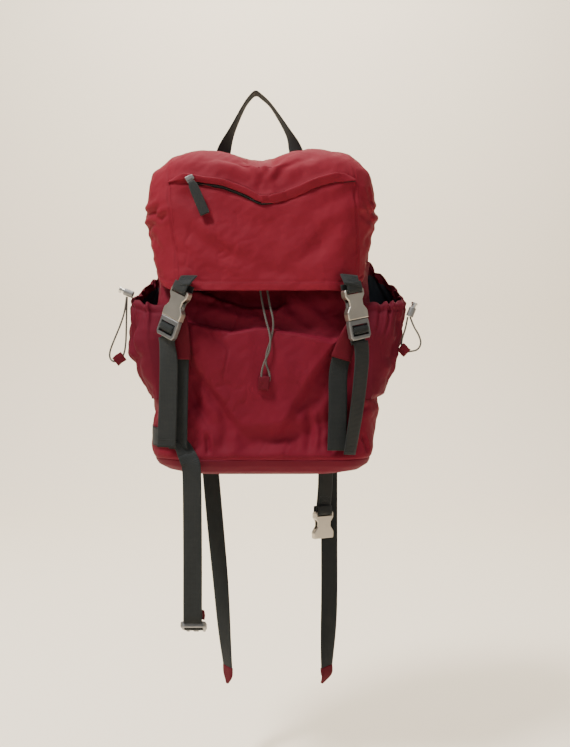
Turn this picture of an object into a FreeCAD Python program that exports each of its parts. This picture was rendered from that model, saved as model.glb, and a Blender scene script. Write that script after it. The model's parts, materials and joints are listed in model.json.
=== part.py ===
import FreeCAD, Part
import math
import os

import Sketcher

# Hiking backpack hung from its grab loop.
# Frame: origin where the loop rests on its hook, +X to the bag's left-hand side as seen from the front
# (the viewer's right), -Y out of the front of the bag, +Z up. Millimetres.

Vec = FreeCAD.Vector
doc = FreeCAD.newDocument("HikingBackpack")
sizes = doc.addObject("Spreadsheet::Sheet", "Sizes")

DRIVING_SIZES = {
    "web_width": 25.0, "web_thick": 1.6, "cord_dia": 2.5, "fabric_wall": 2.0, "play": 0.4,
    "bag_left": -139.0, "bag_right": 167.0, "bag_front": -140.0, "bag_back": -3.0, "bag_corner": 55.0,
    "base_low": -562.0, "base_seam": -539.0, "bag_chest": -345.0, "bag_rim": -262.0, "rim_front": -96.0,
    "neck_top": -225.0, "neck_left": -60.0, "neck_right": 86.0, "neck_front": -78.0, "neck_back": -20.0,
    "lid_left": -153.0, "lid_right": 175.0, "lid_front": -151.0, "lid_hem": -312.0, "lid_fold": -165.0,
    "lid_top": -104.0, "lid_corner": 60.0, "lid_wall": 3.0,
    "pocket_low": -457.0, "pocket_high": -246.0, "left_bulge": 36.0, "right_bulge": 40.0,
    "pad_width": 62.0, "pad_thick": 11.0, "foam_thick": 8.0,
    "buckle_width": 34.0, "buckle_thick": 10.0, "female_length": 40.0, "frame_length": 27.0,
    "zip_radius": 202.0, "tip_length": 20.0, "lock_radius": 5.0, "lock_length": 13.0,
}


def fill_sheet():
    for row, (alias, value) in enumerate(DRIVING_SIZES.items(), start=1):
        sizes.set(f"A{row}", alias)
        sizes.set(f"B{row}", str(value))
        sizes.setAlias(f"B{row}", alias)
    doc.recompute()


def size(expression):
    """Value of a sheet expression such as 'web_width / 2'."""
    return float(sizes.evalExpression(bound(expression)))


def bound(expression):
    """The same expression with each alias pointed at the sheet."""
    words = expression.replace("(", " ( ").replace(")", " ) ").split()
    return " ".join(f"Sizes.{w}" if w in DRIVING_SIZES else w for w in words)


def new_body(label):
    body = doc.addObject("PartDesign::Body", label)
    body.Label = label
    return body


def plane(body, role="XY_Plane"):
    return [f for f in body.Origin.OriginFeatures if f.Role == role][0]


def outline_sketch(body, corners, height=None, offset=None, role="XY_Plane"):
    """A closed outline whose corners are pairs of sheet expressions."""
    sketch = body.newObject("Sketcher::SketchObject", f"{body.Name}_outline")
    sketch.AttachmentSupport = [(plane(body, role), "")]
    sketch.MapMode = "FlatFace"
    if offset is not None:
        sketch.AttachmentOffset = offset
    if height is not None:
        sketch.setExpression("AttachmentOffset.Base.z", bound(height))
    places = [Vec(size(x), size(y), 0) for x, y in corners]
    count = len(corners)
    for i in range(count):
        sketch.addGeometry(Part.LineSegment(places[i], places[(i + 1) % count]), False)
    for i in range(count):
        sketch.addConstraint(Sketcher.Constraint("Coincident", i, 2, (i + 1) % count, 1))
    for i, (x, y) in enumerate(corners):
        for kind, value, expression in (("DistanceX", places[i].x, x), ("DistanceY", places[i].y, y)):
            row = sketch.addConstraint(Sketcher.Constraint(kind, -1, 1, i, 1, value))
            name = f"{kind[-1].lower()}_{i}"
            sketch.renameConstraint(row, name)
            sketch.setExpression(f"Constraints.{name}", bound(expression))
    return sketch


def loft(body, sketches, cut=False):
    kind = "SubtractiveLoft" if cut else "AdditiveLoft"
    feature = body.newObject(f"PartDesign::{kind}", f"{body.Name}_{kind}")
    feature.Profile = sketches[0]
    feature.Sections = sketches[1:]
    feature.Ruled = True
    return feature


def pad(body, sketch, length, midplane=False, upward=True):
    feature = body.newObject("PartDesign::Pad", f"{body.Name}_pad")
    feature.Profile = sketch
    feature.Midplane = midplane
    feature.Reversed = not upward
    feature.setExpression("Length", bound(length))
    return feature


def pocket(body, sketch, depth, upward=True):
    """Cuts from the sketch's plane towards +Z of the sketch when upward."""
    feature = body.newObject("PartDesign::Pocket", f"{body.Name}_pocket")
    feature.Profile = sketch
    feature.Reversed = upward
    feature.setExpression("Length", bound(depth))
    return feature


def round_edges(body, feature, radius, keep):
    """Fillets the edges of a feature that the keep test accepts."""
    doc.recompute()
    names = [f"Edge{i + 1}" for i, edge in enumerate(feature.Shape.Edges) if keep(edge)]
    fillet = body.newObject("PartDesign::Fillet", f"{body.Name}_fillet")
    fillet.Base = (feature, names)
    fillet.Radius = radius
    doc.recompute()
    return fillet


# ---------------------------------------------------------------- soft shells

FACET_ANGLES = (0, 30, 60, 90)


def bag_outline(left, right, front, back, corner, back_corner="12"):
    """Plan outline with faceted front corners and small back corners, as sheet expressions."""
    corners = []
    for angle in FACET_ANGLES:
        c = round(1 - math.cos(math.radians(angle)), 4)
        s = round(1 - math.sin(math.radians(angle)), 4)
        corners.append((f"( {left} ) + {c} * ( {corner} )", f"( {front} ) + {s} * ( {corner} )"))
    for angle in reversed(FACET_ANGLES):
        c = round(1 - math.cos(math.radians(angle)), 4)
        s = round(1 - math.sin(math.radians(angle)), 4)
        corners.append((f"( {right} ) - {c} * ( {corner} )", f"( {front} ) + {s} * ( {corner} )"))
    corners.append((right, f"( {back} ) - {back_corner}"))
    corners.append((f"( {right} ) - {back_corner}", back))
    corners.append((f"( {left} ) + {back_corner}", back))
    corners.append((left, f"( {back} ) - {back_corner}"))
    return corners


def grown(outline_sizes, amount):
    """Left, right, front and back moved outwards by an amount, inwards where it is negative."""
    left, right, front, back, corner = outline_sizes
    return (f"( {left} ) - {amount}", f"( {right} ) + {amount}", f"( {front} ) - {amount}",
            f"( {back} ) + {amount}", f"( {corner} ) + {amount}")


def shell(label, levels, wall, inner_levels=None):
    """A tube of fabric through levels of (height, outline sizes), open at both ends unless told otherwise."""
    body = new_body(label)
    outer = [outline_sketch(body, bag_outline(*plan), height) for height, plan in levels]
    loft(body, outer)
    hollow = inner_levels or [(height, grown(plan, f"( 0 - {wall} )")) for height, plan in levels]
    inner = [outline_sketch(body, bag_outline(*plan), height) for height, plan in hollow]
    loft(body, inner, cut=True)
    return body


BAG_PLAN = ("bag_left", "bag_right", "bag_front", "bag_back", "bag_corner")
RIM_PLAN = ("bag_left + 3", "bag_right - 3", "rim_front", "bag_back", "bag_corner - 10")
NECK_PLAN = ("neck_left", "neck_right", "neck_front", "neck_back", "25")


def make_main_bag():
    return shell("main_bag", [("base_seam + play", BAG_PLAN), ("bag_chest", BAG_PLAN), ("bag_rim", RIM_PLAN)],
                 "fabric_wall")


def make_bottom_panel():
    """Base tray that carries the load: turned-up rim, softened lower corners, open at the top."""
    foot = ("bag_left + 34", "bag_right - 34", "bag_front + 24", "bag_back - 16", "bag_corner - 20")
    turn = ("bag_left + 10", "bag_right - 10", "bag_front + 6", "bag_back - 5", "bag_corner - 4")
    levels = [("base_low", foot), ("base_low + 10", turn), ("base_seam", BAG_PLAN)]
    inside = [("base_low + 3", grown(foot, "( 0 - 2 )")), ("base_low + 11", grown(turn, "( 0 - 2 )")),
              ("base_seam", grown(BAG_PLAN, "( 0 - 2 )"))]
    return shell("bottom_panel", levels, "fabric_wall", inside)


def make_collar():
    """Gathered throat between the bag's rim and the drawcord channel."""
    return shell("collar", [("bag_rim + play", RIM_PLAN), ("neck_top", NECK_PLAN)], "fabric_wall")


def make_back_panel():
    panel = doc.addObject("Part::Box", "back_panel")
    panel.setExpression("Length", bound("bag_right - bag_left - 34"))
    panel.setExpression("Width", "3")
    panel.setExpression("Height", bound("lid_top - 16 - base_seam"))
    panel.setExpression("Placement.Base.x", bound("bag_left + 17"))
    panel.setExpression("Placement.Base.y", bound("bag_back + play"))
    panel.setExpression("Placement.Base.z", bound("base_seam"))
    return panel


def make_back_foam():
    foam = doc.addObject("Part::Box", "back_foam")
    foam.setExpression("Length", bound("bag_right - bag_left - 40"))
    foam.setExpression("Width", bound("foam_thick"))
    foam.setExpression("Height", bound("bag_rim - base_seam - 20"))
    foam.setExpression("Placement.Base.x", bound("bag_left + 20"))
    foam.setExpression("Placement.Base.y", bound("bag_back - fabric_wall - play - foam_thick"))
    foam.setExpression("Placement.Base.z", bound("base_seam + 10"))
    return foam


def make_lid():
    """Floating lid: a cap that is open below and behind, hinged along its top back edge."""
    skirt = ("lid_left", "lid_right", "lid_front", "0 - 2", "lid_corner")
    brow = ("lid_left + 7", "lid_right - 7", "lid_front + 9", "0 - 2", "lid_corner")
    crown = ("lid_left + 32", "lid_right - 32", "lid_front + 40", "0 - 2", "lid_corner")
    body = new_body("lid")
    levels = (("lid_hem", skirt), ("lid_fold", skirt), ("lid_top - 20", brow), ("lid_top", crown))
    loft(body, [outline_sketch(body, bag_outline(*plan, "1"), height) for height, plan in levels])
    hollow = []
    for height, (left, right, front, back, corner) in levels:
        top = f"{height} - lid_wall" if height != "lid_hem" else "lid_hem - 1"
        plan = (f"{left} + lid_wall", f"{right} - lid_wall", f"{front} + lid_wall", "12", f"{corner} - lid_wall")
        hollow.append(outline_sketch(body, bag_outline(*plan, "1"), top))
    loft(body, hollow, cut=True)
    rear = [("0 - 60", "lid_hem - 5"), ("12", "lid_hem - 5"), ("12", "lid_hem + 62"), ("0 - 2", "lid_hem + 62")]
    side = outline_sketch(body, rear, role="YZ_Plane")
    sweep = body.newObject("PartDesign::Pocket", "lid_side_sweep")
    sweep.Profile = side
    sweep.Midplane = True
    sweep.Length = 500
    return body


def pocket_outline(side_x, outward, bulge, front, back):
    """Half-oval plan on a side panel: outward is 1 to the right and -1 to the left."""
    places = ((0, 0), (0.5, 0.08), (0.87, 0.25), (1.0, 0.5), (0.87, 0.75), (0.5, 0.92), (0, 1))
    corners = []
    for out, along in places:
        x = f"( {side_x} ) + {outward * out} * ( {bulge} )"
        y = f"( {front} ) + {along} * ( ( {back} ) - ( {front} ) )"
        corners.append((x, y))
    return corners


def make_side_pocket(label, side, outward, bulge):
    """Gathered side pocket with a mouth that slopes down to the front."""
    wall_x = f"{side} + {outward} * play"
    levels = (("pocket_low", "9"), ("pocket_low + 34", f"{bulge} * 0.62"), ("pocket_low + 76", bulge),
              ("pocket_low + 140", f"{bulge} * 1.08"), ("pocket_high", f"{bulge} * 0.7"))
    body = new_body(label)
    loft(body, [outline_sketch(body, pocket_outline(wall_x, outward, reach, "0 - 122", "0 - 9"), height)
                for height, reach in levels])
    inside_x = f"{side} - {outward} * 6"
    hollow = []
    for height, reach in levels:
        start = "pocket_low + 2" if height == "pocket_low" else height
        depth = f"( {reach} ) + 6 - fabric_wall"
        hollow.append(outline_sketch(body, pocket_outline(inside_x, outward, depth, "0 - 118", "0 - 13"), start))
    loft(body, hollow, cut=True)
    doc.recompute()
    slope = [("0 - 130", "0 - 334"), ("0 - 60", "0 - 319"), ("0 - 5", "0 - 262"), ("0 - 5", "0 - 240"),
             ("0 - 130", "0 - 240")]
    mouth = outline_sketch(body, slope, role="YZ_Plane")
    trim = body.newObject("PartDesign::Pocket", f"{label}_mouth")
    trim.Profile = mouth
    trim.Midplane = True
    trim.Length = 600
    return body


# ---------------------------------------------------------------- webbing

def facing(yaw, along):
    """Outward normal at a yaw from straight ahead (positive turns to the right), square to the strap."""
    normal = Vec(math.sin(math.radians(yaw)), -math.cos(math.radians(yaw)), 0)
    normal = normal - along * normal.dot(along)
    return normal.normalize()


def axes_placement(place, across, upward, outward):
    matrix = FreeCAD.Matrix(across.x, upward.x, outward.x, place.x,
                            across.y, upward.y, outward.y, place.y,
                            across.z, upward.z, outward.z, place.z, 0, 0, 0, 1)
    return FreeCAD.Placement(matrix)


def strip(label, stations, width="web_width", thick="web_thick", crest=None):
    """A flat strap through stations of (x, y, z, turn of its width about the upright, its own width if any).

    A strap that doubles back is lofted in two runs that meet at the station numbered crest.
    """
    body = new_body(label)
    points = [Vec(*station[:3]) for station in stations]
    sketches = []
    for i, station in enumerate(stations):
        ahead = points[min(i + 1, len(points) - 1)] - points[i]
        behind = points[i] - points[max(i - 1, 0)]
        along = Vec(0, 0, 0)
        for run in (ahead, behind):
            if run.Length:
                along += run.normalize()
        along.normalize()
        turn = math.radians(station[3])
        across = Vec(math.cos(turn), math.sin(turn), 0)
        across = (across - along * across.dot(along)).normalize()
        normal = along.cross(across)
        place = axes_placement(points[i], across, normal, across.cross(normal))
        broad = station[4] if len(station) > 4 else width
        corners = [(f"{a} * ( {broad} )", f"{b} * ( {thick} )")
                   for a, b in ((-0.5, -0.5), (0.5, -0.5), (0.5, 0.5), (-0.5, 0.5))]
        sketches.append(outline_sketch(body, corners, offset=place))
    if crest is None:
        loft(body, sketches)
    else:
        loft(body, sketches[:crest + 1])
        loft(body, sketches[crest:])
    return body


def make_grab_loop():
    """Webbing loop: faces forward where it is sewn and turns edge-on where it passes over the hook."""
    return strip("grab_loop", [(-49, 7, -126, 10), (-46, 6.5, -104, 20), (-41, 4, -82, 45),
                               (-33, 1.5, -58, 75), (-18, 0, -20, 90), (-6, 0, -2, 90), (0, 0, 0.8, 90),
                               (6, 0, -2, 90), (22, 0, -20, 90), (43, 1.5, -58, 105), (52, 4, -80, 135),
                               (59, 6.5, -104, 160), (63, 7, -126, 170)], crest=6)


def make_hip_wrap():
    """Band of the left hip belt that comes round the bag's lower side to the front corner."""
    body = new_body("left_hip_wrap")
    path = [("bag_left - play", "0 - 12"), ("bag_left - play", "0 - 88"),
            ("bag_left + 8 - play", "0 - 116"), ("bag_left + 29 - play", "0 - 135.5"),
            ("bag_left + 62", "bag_front - play - 0.6"), ("bag_left + 62", "bag_front - play - 2.4"),
            ("bag_left + 28 - play", "0 - 137.6"), ("bag_left + 6.5 - play", "0 - 117.4"),
            ("bag_left - 2.1", "0 - 88.6"), ("bag_left - 2.1", "0 - 12")]
    pad(body, outline_sketch(body, path, height="0 - 518"), "web_width")
    return body


# ---------------------------------------------------------------- side-release buckles

def mirrored(half):
    """Closed outline from its right half, listed from the top down."""
    return half + [(f"0 - ( {x} )", y) for x, y in reversed(half)]


def slot(body, half_width, top, bottom, start, depth):
    """Cuts a rectangular opening that begins at height start of the buckle's thickness."""
    corners = mirrored([(half_width, top), (half_width, bottom)])
    return pocket(body, outline_sketch(body, corners, height=start), depth)


def make_female(label, placement):
    """Cast socket half: waisted so that the arms' buttons stand in its side windows."""
    body = new_body(label)
    half = [("buckle_width / 2 - 2.5", "0"), ("buckle_width / 2 - 1", "0 - 2"),
            ("buckle_width / 2 - 1", "0 - 9"), ("buckle_width / 2 - 5.4", "0 - 15"),
            ("buckle_width / 2 - 5.6", "0 - 22"), ("buckle_width / 2 - 0.6", "0 - 29"),
            ("buckle_width / 2", "0 - 32"), ("buckle_width / 2 - 0.5", "0 - female_length")]
    plate = pad(body, outline_sketch(body, mirrored(half), height="0"), "buckle_thick")
    round_edges(body, plate, 1.4, lambda edge: abs(edge.tangentAt(edge.FirstParameter).z) < 0.5)
    slot(body, "web_width / 2 + 0.6", "0 - 2.6", "0 - 6.6", "0 - 1", "buckle_thick + 2")
    slot(body, "13.7", "0 - 12", "0 - female_length - 1", "2", "buckle_thick - 4")
    body.Placement = placement
    return body


def make_male(label, placement):
    """Ladder-lock frame with its guide tongue standing in the socket."""
    body = new_body(label)
    half = [("buckle_width / 2 - 0.6", "0 - female_length - play"), ("buckle_width / 2", "0 - female_length - 5"),
            ("buckle_width / 2", "0 - female_length - frame_length + 4"),
            ("buckle_width / 2 - 3", "0 - female_length - frame_length")]
    frame = pad(body, outline_sketch(body, mirrored(half), height="1"), "buckle_thick - 2")
    round_edges(body, frame, 1.6, lambda edge: abs(edge.tangentAt(edge.FirstParameter).z) < 0.5)
    first = "0 - female_length - 7"
    slot(body, "web_width / 2 + 0.6", first, f"{first} - 5.5", "0", "buckle_thick")
    slot(body, "web_width / 2 + 0.6", f"{first} - 9.5", f"{first} - 15", "0", "buckle_thick")
    tongue = outline_sketch(body, mirrored([("2.6", "0 - 17"), ("3.4", "0 - 19"),
                                            ("3.4", "0 - female_length - 2")]), height="2.5")
    pad(body, tongue, "buckle_thick - 5")
    body.Placement = placement
    return body


def make_arm(label, placement, hand):
    """Spring arm with its pressing shoulder: hand is 1 on the right and -1 on the left."""
    body = new_body(label)
    shape = [(8.6, -40), (12.2, -40), (12.6, -31), (13.2, -27), (13.2, -20), (12.0, -16.5), (9.6, -16.5),
             (8.8, -24), (8.9, -32)]
    corners = [(f"{hand * x}", f"{y}") for x, y in shape]
    arm = pad(body, outline_sketch(body, corners, height="2.4"), "buckle_thick - 4.8")
    round_edges(body, arm, 0.5, lambda edge: abs(edge.tangentAt(edge.FirstParameter).z) < 0.5)
    body.Placement = placement
    return body


def buckle_placement(top, lower, yaw):
    """Buckle frame: origin at the top of the socket half, -Y along the buckle, +Z out of its face."""
    along = (Vec(*lower) - Vec(*top)).normalize()
    normal = facing(yaw, along)
    across = (along * -1).cross(normal)
    base = Vec(*top) - normal * (size("buckle_thick") / 2)
    return axes_placement(base, across, along * -1, normal)


# ---------------------------------------------------------------- cords

def cord_path(points):
    """Straight runs joined by arcs as large as the two runs beside them allow. Returns wire and radii."""
    spots = [Vec(*p) for p in points]
    edges = []
    radii = []
    start = spots[0]
    for i in range(1, len(spots) - 1):
        back = spots[i - 1] - spots[i]
        ahead = spots[i + 1] - spots[i]
        reach = 0.45 * min(back.Length, ahead.Length)
        turn = math.pi - back.getAngle(ahead)
        radius = reach / math.tan(turn / 2)
        radii.append(radius)
        entry = spots[i] + back.normalize() * reach
        leave = spots[i] + ahead.normalize() * reach
        middle = ((entry + leave) * 0.5 - spots[i]).normalize()
        belly = spots[i] + middle * (radius / math.cos(turn / 2) - radius)
        edges.append(Part.LineSegment(start, entry).toShape())
        edges.append(Part.Arc(entry, belly, leave).toShape())
        start = leave
    edges.append(Part.LineSegment(start, spots[-1]).toShape())
    return Part.Wire(edges), radii


def make_cord(label, points):
    diameter = size("cord_dia")
    wire, radii = cord_path(points)
    heading = Vec(*points[1]) - Vec(*points[0])
    ring = Part.Wire(Part.Circle(Vec(*points[0]), heading, diameter / 2).toShape())
    tube = wire.makePipeShell([ring], True, True, 2)
    expected = math.pi * diameter ** 2 / 4 * wire.Length
    if abs(tube.Volume - expected) > 0.02 * expected:
        raise ValueError(f"{label}: volume {tube.Volume:.1f} is not section times length {expected:.1f}")
    print(f"{label}: length {wire.Length:.1f}, radii", " ".join(f"{r:.1f}" for r in radii))
    cord = doc.addObject("Part::Feature", label)
    cord.Shape = tube
    return cord


CENTRE_CORD = [(10, -106.5, -262), (9, -113.5, -276), (9, -124.5, -297), (12, -133.5, -322),
               (18, -143, -350), (25, -147.2, -374), (24, -148.2, -393), (16, -147.8, -408),
               (12.5, -147.5, -422), (12.6, -147.5, -433), (18, -147.2, -438), (24, -146.8, -433),
               (23.6, -144.5, -423), (18, -143.4, -410), (19, -142.8, -395), (26, -142.5, -376),
               (29.5, -144.2, -354), (23, -140.5, -330), (18.5, -124.5, -300), (19, -113, -276),
               (20, -106.5, -262)]
LEFT_CORD = [(-177, -94, -316), (-178.5, -95, -333), (-184, -95.5, -352), (-193, -96, -374), (-200, -96, -391),
             (-200.5, -96, -402), (-194, -96, -407.5), (-186, -96, -404), (-180.5, -95.5, -397),
             (-178, -95, -383), (-177.5, -94, -363), (-177.5, -92.5, -343), (-177, -91, -316)]
RIGHT_CORD = [(215, -92, -347), (212.5, -94, -360), (207, -95, -374), (206, -96, -387), (212, -96, -393),
              (221, -96.5, -392), (229, -97, -390), (234, -97, -381), (230, -96, -368),
              (223, -94, -357), (219.5, -92, -347)]


def make_tab(label, centre, width, drop, tilt):
    """Folded fabric pull, turned by tilt degrees about the line of sight, with the cord in its fold."""
    body = new_body(label)
    half = [(f"{width / 2}", "0"), (f"{width / 2}", f"0 - {drop}")]
    pad(body, outline_sketch(body, mirrored(half), height="0"), "4.4", midplane=True)
    turn = FreeCAD.Rotation(Vec(0, 1, 0), tilt) * FreeCAD.Rotation(Vec(1, 0, 0), 90)
    body.Placement = FreeCAD.Placement(Vec(*centre), turn)
    return body


def make_cord_lock(label, plunger_label, seat, direction):
    """Barrel cord lock with its sprung plunger; direction points out of the plunger's end."""
    axis = Vec(*direction).normalize()
    turn = FreeCAD.Rotation(Vec(0, 0, 1), axis)
    barrel = doc.addObject("Part::Cylinder", f"{label}_barrel")
    barrel.setExpression("Radius", bound("lock_radius"))
    barrel.setExpression("Height", bound("lock_length"))
    eased = doc.addObject("Part::Fillet", f"{label}_eased")
    eased.Base = barrel
    eased.Edges = [(1, 1.0, 1.0), (3, 1.0, 1.0)]
    bore = doc.addObject("Part::Cylinder", f"{label}_bore")
    bore.setExpression("Radius", bound("lock_radius - 1.3"))
    bore.setExpression("Height", bound("lock_length"))
    bore.Placement.Base = Vec(0, 0, 3)
    lock = doc.addObject("Part::Cut", label)
    lock.Label = label
    lock.Base = eased
    lock.Tool = bore
    lock.Placement = FreeCAD.Placement(Vec(*seat), turn)
    stem = doc.addObject("Part::Cylinder", f"{plunger_label}_stem")
    stem.setExpression("Radius", bound("lock_radius - 1.7"))
    stem.setExpression("Height", bound("lock_length - 1.5"))
    head = doc.addObject("Part::Cylinder", f"{plunger_label}_head")
    head.setExpression("Radius", bound("lock_radius - 0.4"))
    head.Height = 2.6
    head.setExpression("Placement.Base.z", bound("lock_length - 3.5"))
    plunger = doc.addObject("Part::Fuse", plunger_label)
    plunger.Label = plunger_label
    plunger.Base = stem
    plunger.Tool = head
    plunger.Placement = FreeCAD.Placement(Vec(*seat) + axis * 8, turn)
    return [lock, plunger]


# ---------------------------------------------------------------- lid fittings

ZIP_MIDDLE = (25.0, -196.5)
ZIP_HALF_SWEEP = 33.5
SLIDER_PARKED = -32.0


def zip_point(angle, radius):
    rise = size("zip_radius")
    return (ZIP_MIDDLE[0] + radius * math.sin(math.radians(angle)),
            ZIP_MIDDLE[1] + rise - radius * math.cos(math.radians(angle)))


def make_zip_tape():
    """Curved zip band on the lid's front face."""
    body = new_body("zip_tape")
    steps = [ZIP_HALF_SWEEP * k / 6 for k in range(-6, 7)]
    radius = size("zip_radius")
    outer = [zip_point(a, radius + 4) for a in steps]
    inner = [zip_point(a, radius - 4) for a in reversed(steps)]
    corners = [(f"{x:.2f}", f"{z:.2f}") for x, z in outer + inner]
    sketch = outline_sketch(body, corners, role="XZ_Plane", height="0 - ( lid_front - play )")
    pad(body, sketch, "1.4")
    return body


def make_zip_slider():
    """Zip slider: a wedge-shaped body with the bridge that holds its pull."""
    body = new_body("zip_slider")
    half = [("2.6", "6"), ("4.2", "2"), ("4.6", "0 - 5")]
    plate = pad(body, outline_sketch(body, mirrored(half), height="0"), "3.2")
    round_edges(body, plate, 0.8, lambda edge: abs(edge.tangentAt(edge.FirstParameter).z) < 0.5)
    bridge = outline_sketch(body, mirrored([("1.2", "4"), ("1.2", "0 - 3.5")]), height="3")
    pad(body, bridge, "1.4")
    x, z = zip_point(SLIDER_PARKED, size("zip_radius"))
    face = size("lid_front - play") - 1.4 - size("play")
    turn = FreeCAD.Rotation(Vec(0, 1, 0), 90 + SLIDER_PARKED) * FreeCAD.Rotation(Vec(1, 0, 0), 90)
    body.Placement = FreeCAD.Placement(Vec(x, face, z), turn)
    return body


def make_zip_pull():
    """Folded webbing pull that hangs from the slider."""
    body = new_body("zip_pull")
    half = [("5", "0"), ("7", "0 - 8"), ("7", "0 - 42")]
    pad(body, outline_sketch(body, mirrored(half), height="0"), "3.2")
    x, z = zip_point(SLIDER_PARKED, size("zip_radius"))
    turn = FreeCAD.Rotation(Vec(0, 1, 0), -23) * FreeCAD.Rotation(Vec(1, 0, 0), 90)
    body.Placement = FreeCAD.Placement(Vec(x + 1.5, size("lid_front") - 7.4, z - 2.5), turn)
    return body


# ---------------------------------------------------------------- assembly

BUCKLES = {
    "left": {"top": (-90.4, -162.5, -313), "lower": (-114, -151.5, -374), "yaw": -37},
    "right": {"top": (132, -158, -312), "lower": (144.5, -151, -381), "yaw": 34},
    "hip_socket": {"top": (101.5, 3.5, -632), "lower": (100.5, 3.5, -700), "yaw": 30},
    "hip_plug": {"top": (-79, -82.5, -787), "lower": (-79, -143, -757.5), "yaw": 0},
}


def make_lid_buckles():
    made = []
    for side in ("left", "right"):
        spot = BUCKLES[side]
        place = buckle_placement(spot["top"], spot["lower"], spot["yaw"])
        made.append(make_female(f"{side}_buckle_socket", place))
        made.append(make_male(f"{side}_buckle_plug", place))
        made.append(make_arm(f"{side}_plug_arm_right", place, 1))
        made.append(make_arm(f"{side}_plug_arm_left", place, -1))
        print(side, "buckle face", place.Rotation.multVec(Vec(0, 0, 1)), "root",
              place.multVec(Vec(10.4, -39.5, 5)), place.multVec(Vec(-10.4, -39.5, 5)))
    return made


def make_hip_buckle():
    socket = BUCKLES["hip_socket"]
    made = [make_female("hip_buckle_socket", buckle_placement(socket["top"], socket["lower"], socket["yaw"]))]
    plug = BUCKLES["hip_plug"]
    place = buckle_placement(plug["top"], plug["lower"], plug["yaw"])
    made.append(make_male("hip_buckle_plug", place))
    made.append(make_arm("hip_plug_arm_right", place, 1))
    made.append(make_arm("hip_plug_arm_left", place, -1))
    print("hip plug face", place.Rotation.multVec(Vec(0, 0, 1)), "root",
          place.multVec(Vec(10.4, -39.5, 5)), place.multVec(Vec(-10.4, -39.5, 5)),
          "frame end", place.multVec(Vec(0, -67, 5)))
    return made


def make_straps():
    return [
        strip("left_lid_tab", [(-82, -156.2, -296, -16), (-88, -161.5, -310, -34), (-90.5, -162.7, -317, -37)]),
        strip("right_lid_tab", [(129, -154.5, -296, 18), (131.4, -157.6, -309, 30), (132.3, -157.8, -315, 34)]),
        strip("left_strap", [(-88, -143.6, -524, -4), (-92, -144.6, -470, -8), (-100, -143.6, -410, -20),
                             (-108, -150, -366, -36)]),
        strip("right_strap", [(107, -143.6, -524, 4), (118, -144.6, -470, 8), (131, -143.6, -410, 20),
                              (142, -147.6, -372, 34)]),
        strip("left_strap_tail", [(-115.5, -157.6, -373, -33), (-112, -153.5, -400, -18), (-110, -149.6, -460, -8),
                                  (-112.5, -149.6, -521, -4)]),
        strip("right_strap_tail", [(147.5, -153.6, -377, 34), (146.5, -150, -410, 36), (141, -147.4, -470, 40),
                                   (132.5, -147.4, -531, 44)]),
        strip("left_hip_strap", [(-84, -146.2, -528, 0), (-79.5, -147, -560, 0), (-79, -147, -640, 0),
                                 (-79, -145.4, -745, 0), (-79, -141, -759, 0)]),
        strip("right_hip_strap", [(106, 3.5, -558, 25), (104.6, 3.5, -600, 28), (101.5, 3.5, -638, 30)]),
    ]


def make_shoulder_gear(side, hand):
    """Padded strap, ladder lock, lower web and hanging tail of one side; hand is 1 right and -1 left."""
    middle = 14.0
    back = 12.0

    def at(offset, z, depth=back, yaw=0, *rest):
        return (middle + hand * offset, depth, z, yaw, *rest)

    padded = strip(f"{side}_shoulder_strap",
                   [at(26, -138, back, 0, "pad_width - 14"), at(46, -190, back, 0, "pad_width"),
                    at(74, -270, back, 0, "pad_width"), at(92, -350, back, 0, "pad_width - 8"),
                    at(96, -416, back, 0, "pad_width - 24")], thick="pad_thick")
    lock = new_body(f"{side}_shoulder_lock")
    half = [("17", "0"), ("17", "0 - 20"), ("15", "0 - 23")]
    frame = pad(lock, outline_sketch(lock, mirrored(half), height="0"), "5")
    round_edges(lock, frame, 1.0, lambda edge: abs(edge.tangentAt(edge.FirstParameter).z) < 0.5)
    for top in ("0 - 3", "0 - 12.5"):
        slot(lock, "web_width / 2 + 0.6", top, f"{top} - 5.5", "0 - 1", "8")
    tail_top, tail_mid, tail_low = {
        "left": ((-70, 0), (-51.5, -35), (-43.5, -68)),
        "right": ((112, 0), (111.5, 8), (107.5, 46)),
    }[side]
    turn = FreeCAD.Rotation(Vec(1, 0, 0), 90)
    lock.Placement = FreeCAD.Placement(Vec(middle + hand * 97, back + 2.5, -417), turn)
    lower = strip(f"{side}_lower_web", [(middle + hand * 97, 5.0, -427, 0), (middle + hand * 110, 2.0, -500, 0),
                                        (middle + hand * 122, 2.0, -532, 0)])
    start_x = middle + hand * 97
    tail_y = back + 4.5
    tail = strip(f"{side}_shoulder_tail",
                 [(start_x, tail_y, -428, 0), ((start_x + tail_top[0]) / 2, tail_y, -500, tail_top[1]),
                  (tail_mid[0] + (tail_top[0] - tail_mid[0]) / 3, tail_y + 2.5, -640, tail_top[1]),
                  (tail_mid[0], tail_y + 2.5, -781, tail_mid[1]), (tail_low[0], tail_y, -874.6, tail_low[1])])
    tip = strip(f"{side}_tail_tip",
                [(tail_low[0], tail_y, -875.8, tail_low[1], "web_width + 1"),
                 (tail_low[0], tail_y, -896, tail_low[1], "web_width / 3")], thick="web_thick + 1.4")
    return [padded, lock, lower, tail, tip]


def make_hip_tip():
    return strip("hip_strap_tip", [(-67.5, -138.5, -735, -60, "web_width * 0.6"),
                                   (-66, -138.5, -752, -60, "web_width * 0.6")], thick="3")


def check_and_write(pieces):
    doc.recompute()
    broken = [o.Name for o in doc.Objects if "Invalid" in o.State or "Error" in o.State]
    if broken:
        raise ValueError(f"features failed: {broken}")
    for piece in pieces:
        if piece.Shape.isNull() or not piece.Shape.isValid() or piece.Shape.Volume <= 0:
            raise ValueError(f"{piece.Label} has no valid shape")
    os.makedirs("parts", exist_ok=True)
    for piece in pieces:
        piece.Shape.exportStep(f"parts/{piece.Label}.step")
    print(len(pieces), "nodes written")


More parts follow.
